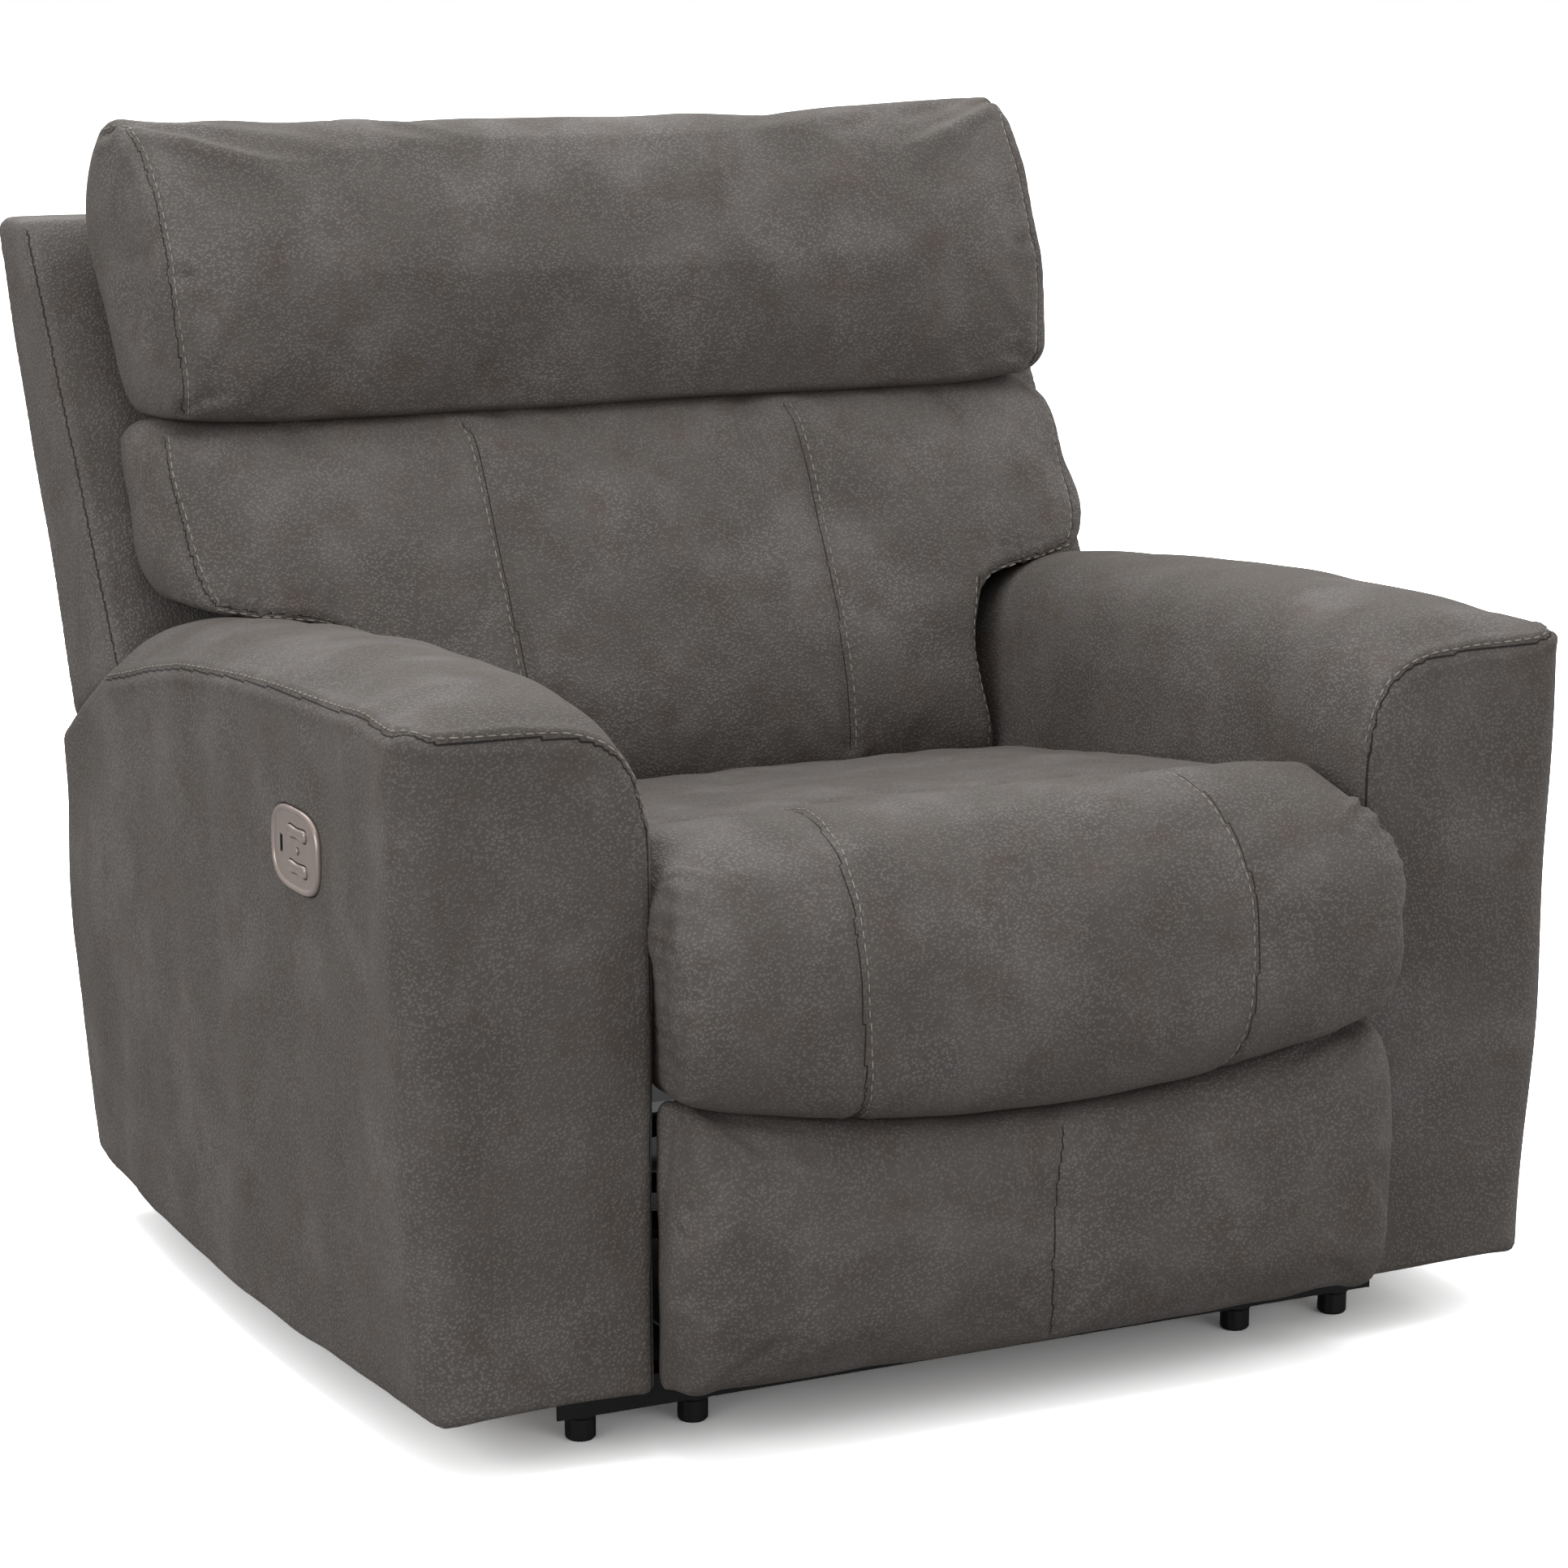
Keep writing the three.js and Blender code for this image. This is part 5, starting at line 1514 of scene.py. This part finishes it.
# --------------------------------------------------------------------------- controls
@dataclass
class ControlPanel:
    """The switch plate in the left arm: a raised rim, two waisted rockers, a round button and a socket.

    Attributes:
        shop: the shop that places it.
        face: how far out the plate's face is.
        tall: its height, as a share of its solid's.
        wide: its width, in the same way.
        forward: how far it sits in front of its solid.
        squareness: 2 for an ellipse, more for squarer corners.
    """

    shop: Shop
    face: float = 541.0
    tall: float = 0.955
    wide: float = 0.95
    forward: float = 9.0
    squareness: float = 3.1

    def box(self, node: str) -> tuple[Array, Array]:
        """Returns the middle of a node's box and half its size, in shop millimetres."""
        low, high = self.shop.measure(np.array(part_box(node)))
        return (low + high) / 2 - np.array([0, self.forward, 0]), np.abs(high - low) / 2

    def outline(self, grow: float) -> Array:
        """Returns the plate's outline as (y, z), grown by some millimetres."""
        middle, half = self.box("control_plate")
        half = half * np.array([1, self.wide, self.tall]) + grow
        wave = np.column_stack([np.cos(TURN), np.sin(TURN)])
        return middle[1:] + half[1:] * np.sign(wave) * np.abs(wave) ** (2 / self.squareness)

    def waisted(self, node: str, grow: float) -> Array:
        """Returns a rocker's outline as (y, z): wide at both ends and narrow in its middle."""
        middle, half = self.box(node)
        y, z = (np.sign(wave) * np.abs(wave) ** 0.55 for wave in (np.cos(TURN), np.sin(TURN)))
        height = half[2] * (0.62 + 0.38 * np.abs(y) ** 1.6) + grow
        return np.column_stack([middle[1] + (half[1] + grow) * y, middle[2] + height * z])

    def pad(self, name: str, outline: Callable[[float], Array], steps: Sequence[Point2]) -> bpy.types.Object:
        """Makes a piece that stands out of the plate.

        Args:
            name: its name.
            outline: from millimetres of growth to its outline as (y, z).
            steps: how far out it is and how much it has grown, from its rear to its face.

        Returns:
            The piece.
        """
        rings = [np.column_stack([np.full(len(TURN), -out), outline(grow)]) for out, grow in steps]
        return loft(name, self.shop, rings)

    def build(self) -> None:
        """Makes the plate, its rockers and its button, each on its own body."""
        f = self.face
        plate = self.pad("control_plate_face", self.outline, (
            (f - 6, -1.5), (f - 6, -0.2), (f - 1.0, 0.0), (f + 0.5, -0.4), (f + 1.5, -1.3), (f + 1.9, -2.6),
            (f + 1.6, -3.9), (f + 0.7, -4.8), (f + 0.1, -5.3), (f, -6.0), (f, -7.5), (f + 0.1, -24.0)))
        windows = [self.pad("window", partial(self.waisted, node), ((f - 20, 0.9), (f + 9, 0.9)))
                   for node in ("recline_rocker", "headrest_rocker")]
        middle, half = self.box("usb_socket")
        window = [(middle[1] + a * half[1], middle[2] + b * half[2])
                  for a, b in ((-1, -1), (1, -1), (1, 1), (-1, 1))]
        windows.append(prism("usb_window", self.shop, window, -f - 9, -f + 20))
        button_room = partial(self.round_button, 0.7)
        windows.append(self.pad("button_window", button_room, ((f - 20, 0.0), (f + 9, 0.0))))
        carve(plate, windows)
        self.finish(plate, "base", "control_plate")
        for node, body in (("recline_rocker", "recline_key"), ("headrest_rocker", "headrest_key")):
            key = self.pad(node + "_key", partial(self.waisted, node), (
                (f - 9, -0.4), (f + 0.6, -0.2), (f + 1.8, -0.6), (f + 2.5, -1.4), (f + 2.6, -2.2),
                (f + 2.2, -3.4), (f + 1.9, -4.4)))
            self.finish(key, body, node)
        button = self.pad("home_button_key", partial(self.round_button, 0.0), (
            (f - 9, -0.2), (f + 1.0, 0.0), (f + 1.6, -0.5), (f + 1.8, -1.2)))
        self.finish(button, "home_key", "home_button")
        socket = prism("usb_socket_face", self.shop, window, -f + 0.4, -f + 18)
        mouth = [(middle[1] + 0.62 * (y - middle[1]), middle[2] + 0.8 * (z - middle[2])) for y, z in window]
        carve(socket, [prism("usb_mouth", self.shop, mouth, -f - 5, -f + 12)])
        self.finish(socket, "base", "usb_socket", NYLON)

    def round_button(self, room: float, grow: float) -> Array:
        """Returns a circle round the button as (y, z), with some room and growth."""
        middle, _ = self.box("home_button")
        return middle[1:] + (2.7 + room + grow) * np.column_stack([np.cos(TURN), np.sin(TURN)])

    def finish(self, piece: bpy.types.Object, body: str, node: str, finish: Finish | None = None) -> None:
        """Dresses a piece, keeps its flat faces flat, and sets it on its body in place of its solid."""
        for face in piece.data.polygons:
            face.use_smooth = 0.02 < abs(face.normal.x) < 0.999
        (finish or PLATE).dress(piece)
        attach(piece, body)
        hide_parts(node)
        log.info("%s: %d faces", piece.name, len(piece.data.polygons))


# --------------------------------------------------------------------------- back
@dataclass
class BackCover:
    """The upholstered case behind the cushions: wide above the arms, narrow between them.

    Attributes:
        shop: the shop that places it.
        half: half its width above the arms.
        narrow: half its width between the arms.
        foot: where its front edge starts, as (y, z).
        front_lean: how far its front edge leans back for each millimetre up.
        rear_lean: the same for its rear face.
        wall: thickness of its padded sides.
        voxel: size of its skin's squares.
        body: the moving body it rides on.
    """

    shop: Shop
    half: float = 526.0
    narrow: float = 332.0
    foot: Point2 = (773.0, 541.0)
    front_lean: float = 0.6126
    rear_lean: float = 0.443
    wall: float = 20.0
    voxel: float = 5.5
    body: str = "back"

    def front(self, z: float) -> float:
        """Y of its front edge at a height."""
        return self.foot[0] + (z - self.foot[1]) * self.front_lean

    def rear(self, z: float) -> float:
        """Y of its rear face at a height."""
        return 910.0 + (z - 475.0) * self.rear_lean

    def block(self, name: str, outline: Sequence[Point2], half: float, soften: float) -> bpy.types.Object:
        """Makes a solid across the chair with softened ends.

        Args:
            name: its name.
            outline: its side view as (y, z).
            half: half its width.
            soften: radius of its end edges.

        Returns:
            The solid.
        """
        side_view = np.array(outline, float)
        rings = []
        for x, full in zip(*stations(half, soften, 60.0)):
            ring = side_view - outward(side_view) * soften * (1 - full)
            rings.append(np.column_stack([np.full(len(ring), x), ring]))
        return loft(name, self.shop, rings)

    def build(self) -> Upholstery:
        """Makes the cover as one skin, then hollows it for the frame inside."""
        top = [(self.foot[0], self.foot[1]), (910, 475), (self.rear(905), 905), (1113, 932), (1100, 942),
               (1084, 944), (1024, 944), (self.front(932), 932)]
        wide = self.block("back_case_cover", outline_points(top, 7.0), self.half, 12.0)
        low = [(self.front(412), 412), (self.rear(290) - 20, 290), (self.rear(290), 290),
               (self.rear(600) - 3, 600), (self.front(600) + 4, 600)]
        narrow = self.block("back_case_foot", outline_points(low, 7.0), self.narrow, 5.0)
        join(wide, narrow)
        remesh(wide, self.voxel)
        relax(wide, 2)
        soft = Upholstery(wide, self.shop, self.seams(), seed=9)
        soft.ripple(1.0, 130.0, (1, 1, 1.6))
        soft.sew()
        carve(wide, self.cutters())
        return soft

    def cutters(self) -> list[bpy.types.Object]:
        """Returns the closed shapes cut out of the cover."""
        inner, skin = self.half - self.wall, 5.0
        upper = [(self.front(572) + skin, 572), (self.rear(508) - 20, 508), (self.rear(905) - 20, 905),
                 (self.rear(905) - 34, 918), (self.front(926) + skin, 926)]
        lower = [(self.front(400) - 60, 400), (self.front(400) + 30, 270), (self.rear(270) - 18, 270),
                 (self.rear(620) - 18, 620), (self.front(620) - 60, 620)]
        lean = math.atan(self.front_lean)
        slot = [(self.foot[0] + up * math.sin(lean) + behind * math.cos(lean),
                 self.foot[1] + up * math.cos(lean) - behind * math.sin(lean))
                for up, behind in ((240, -9), (240, 9), (296, 9), (296, -9))]
        tools = [prism("upper_hollow", self.shop, upper, -inner, inner),
                 prism("lower_hollow", self.shop, lower, self.wall - self.narrow, self.narrow - self.wall)]
        tools += [prism("hinge_slot", self.shop, slot, s.value * 150, s.value * 210) for s in Side]
        return tools

    def seams(self) -> tuple[Line, ...]:
        """A seam round the front edge of each side panel."""
        lines = []
        for side in Side:
            x = side.value * 526.0
            run = ((x, 778, 548), (x, 840, 650), (x, 902, 750), (x, 963, 850), (x, 1012, 930))
            lines.append(Line(run, depth=1.6, width=3.5, lip=0.6))
            rear = ((x, 930, 520), (x, 960, 588), (x, 1010, 702), (x, 1060, 815), (x, 1098, 902))
            lines.append(Line(rear, depth=1.6, width=3.5, lip=0.6))
        return tuple(lines)


# --------------------------------------------------------------------------- studio
@dataclass(frozen=True)
class Studio:
    """A white floor, soft lights and the camera.

    Attributes:
        shop: the shop that places the camera and the lamps.
        target: the place the camera looks at, in shop millimetres.
        azimuth: the camera's turn round the chair, in degrees.
        elevation: its height above the horizon, in degrees.
        distance: from the target, in millimetres.
        lens: focal length on a 36 mm sensor.
        ambient: strength of the soft light from all round.
    """

    shop: Shop
    target: Point = (4.0, 450.0, 450.0)
    azimuth: float = -26.5
    elevation: float = 11.65
    distance: float = 4090.0
    lens: float = 102.24
    ambient: float = 0.5

    def build(self) -> None:
        """Sets up the camera, the lights, the floor and the surroundings."""
        scene = bpy.context.scene
        scene.view_settings.view_transform = "Standard"
        self.camera(scene)
        self.floor()
        self.surroundings(scene)
        self.lamp("rear_top_panel", (0, 3200, 3400), (0, 400, 450), (3.0, 2.4), 68.0)
        self.lamp("top_panel", (0, 300, 4000), (0, 400, 450), (3.0, 3.0), 40.0)
        self.lamp("right_panel", (4300, 400, 1800), (0, 400, 450), (3.0, 2.4), 36.0)
        self.lamp("left_panel", (-4200, -1300, 1900), (0, 400, 450), (3.2, 2.4), 47.0)
        self.lamp("front_panel", (1200, -4400, 1300), (0, 400, 450), (3.2, 2.0), 18.0)

    def camera(self, scene: bpy.types.Scene) -> None:
        """Places the camera."""
        a, e = math.radians(self.azimuth), math.radians(self.elevation)
        back = np.array([math.sin(a) * math.cos(e), -math.cos(a) * math.cos(e), math.sin(e)])
        data = bpy.data.cameras.new("studio_camera")
        data.lens, data.sensor_width = self.lens, 36.0
        camera = bpy.data.objects.new("studio_camera", data)
        camera.location = self.shop.place([np.array(self.target) + back * self.distance])[0]
        camera.rotation_mode = "QUATERNION"
        camera.rotation_quaternion = Vector(-back).to_track_quat("-Z", "Y")
        scene.collection.objects.link(camera)
        scene.camera = camera

    def lamp(self, name: str, place: Point, aim: Point, size: Point2, power: float) -> None:
        """Adds a soft panel light.

        Args:
            name: its name.
            place: where it stands, in shop millimetres.
            aim: the place it faces.
            size: its width and height, in metres.
            power: in watts.
        """
        data = bpy.data.lights.new(name, "AREA")
        data.shape, data.size, data.size_y, data.energy = "RECTANGLE", size[0], size[1], power
        lamp = bpy.data.objects.new(name, data)
        start, end = (Vector(p) for p in self.shop.place([place, aim]))
        lamp.location = start
        lamp.rotation_mode = "QUATERNION"
        lamp.rotation_quaternion = (end - start).to_track_quat("-Z", "Y")
        bpy.context.scene.collection.objects.link(lamp)

    def floor(self) -> None:
        """Lays a white paper floor that keeps the chair's soft shadow and has a painted shadow under the
        chair.
        """
        r = 30.0
        floor = new_piece("paper_floor", np.array([(-r, -r, 0), (r, -r, 0), (r, r, 0), (-r, r, 0.0)]),
                          [(0, 1, 2, 3)], smooth=False)
        floor.data.materials.append(StudioPaper("white_studio_paper", "floor", "#989898").material())

    def surroundings(self, scene: bpy.types.Scene) -> None:
        """Makes the surroundings white to the camera and in reflections, and a soft grey light elsewhere."""
        world = bpy.data.worlds.new("white_studio")
        world.use_nodes = True
        tree = world.node_tree
        tree.nodes.clear()
        strength = remap(tree, seen_directly(tree), 0.0, 1.0, self.ambient, 1.0)
        light = add_node(tree, "ShaderNodeBackground", {}, {"Color": linear("#ffffff"), "Strength": strength})
        add_node(tree, "ShaderNodeOutputWorld", {}, {"Surface": light.outputs["Background"]})
        scene.world = world


# --------------------------------------------------------------------------- putting it together
def finish_soft(soft: Upholstery, body: str, nodes: Sequence[str]) -> None:
    """Dresses a soft piece, adds its stitches, sets both on the moving body and hides the solids it stands
    for.

    Args:
        soft: the piece.
        body: the moving body it rides on.
        nodes: the solids it stands for.
    """
    soft.mark()
    COVER.dress(soft.piece)
    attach(soft.piece, body)
    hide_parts(*nodes)
    log.info("%s: %d faces", soft.piece.name, len(soft.piece.data.polygons))
    rows = soft.stitches(THREAD)
    if rows is not None:
        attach(rows, body)
        log.info("%s: %d faces", rows.name, len(rows.data.polygons))


def dress_solids(frame: Mapping[str, Any]) -> None:
    """Gives every solid the finish of its material slot.

    Args:
        frame: the loaded frame.
    """
    for part in frame["record"]["subparts"]:
        solid = frame["nodes"][part["node"]]
        material = BY_SLOT[part["material_slot"]].material()
        for slot in solid.material_slots:
            slot.material = material


def main() -> None:
    """Builds the whole chair."""
    logging.basicConfig(level=logging.INFO, format="%(name)s %(message)s")
    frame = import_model()
    shop = Shop(arm_front=float(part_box("arm_cover_left")[0][1]))
    dress_solids(frame)
    seat = SeatCushion(shop)
    finish_soft(seat.build(), seat.body, ["seat_cushion"])
    pad = LegPad(shop)
    finish_soft(pad.build(), pad.body, ["leg_pad"])
    lumbar = LumbarCushion(shop)
    finish_soft(lumbar.build(), lumbar.body, ["lumbar_cushion"])
    head = HeadCushion(shop)
    finish_soft(head.build(), head.body, ["head_cushion"])
    for side in Side:
        arm = Arm(shop, side)
        finish_soft(arm.build(), arm.body, [f"arm_cover_{side.name.lower()}"])
    ControlPanel(shop).build()
    case = BackCover(shop)
    finish_soft(case.build(), case.body, ["back_cover"])
    Studio(shop).build()


if __name__ == "__main__":
    main()
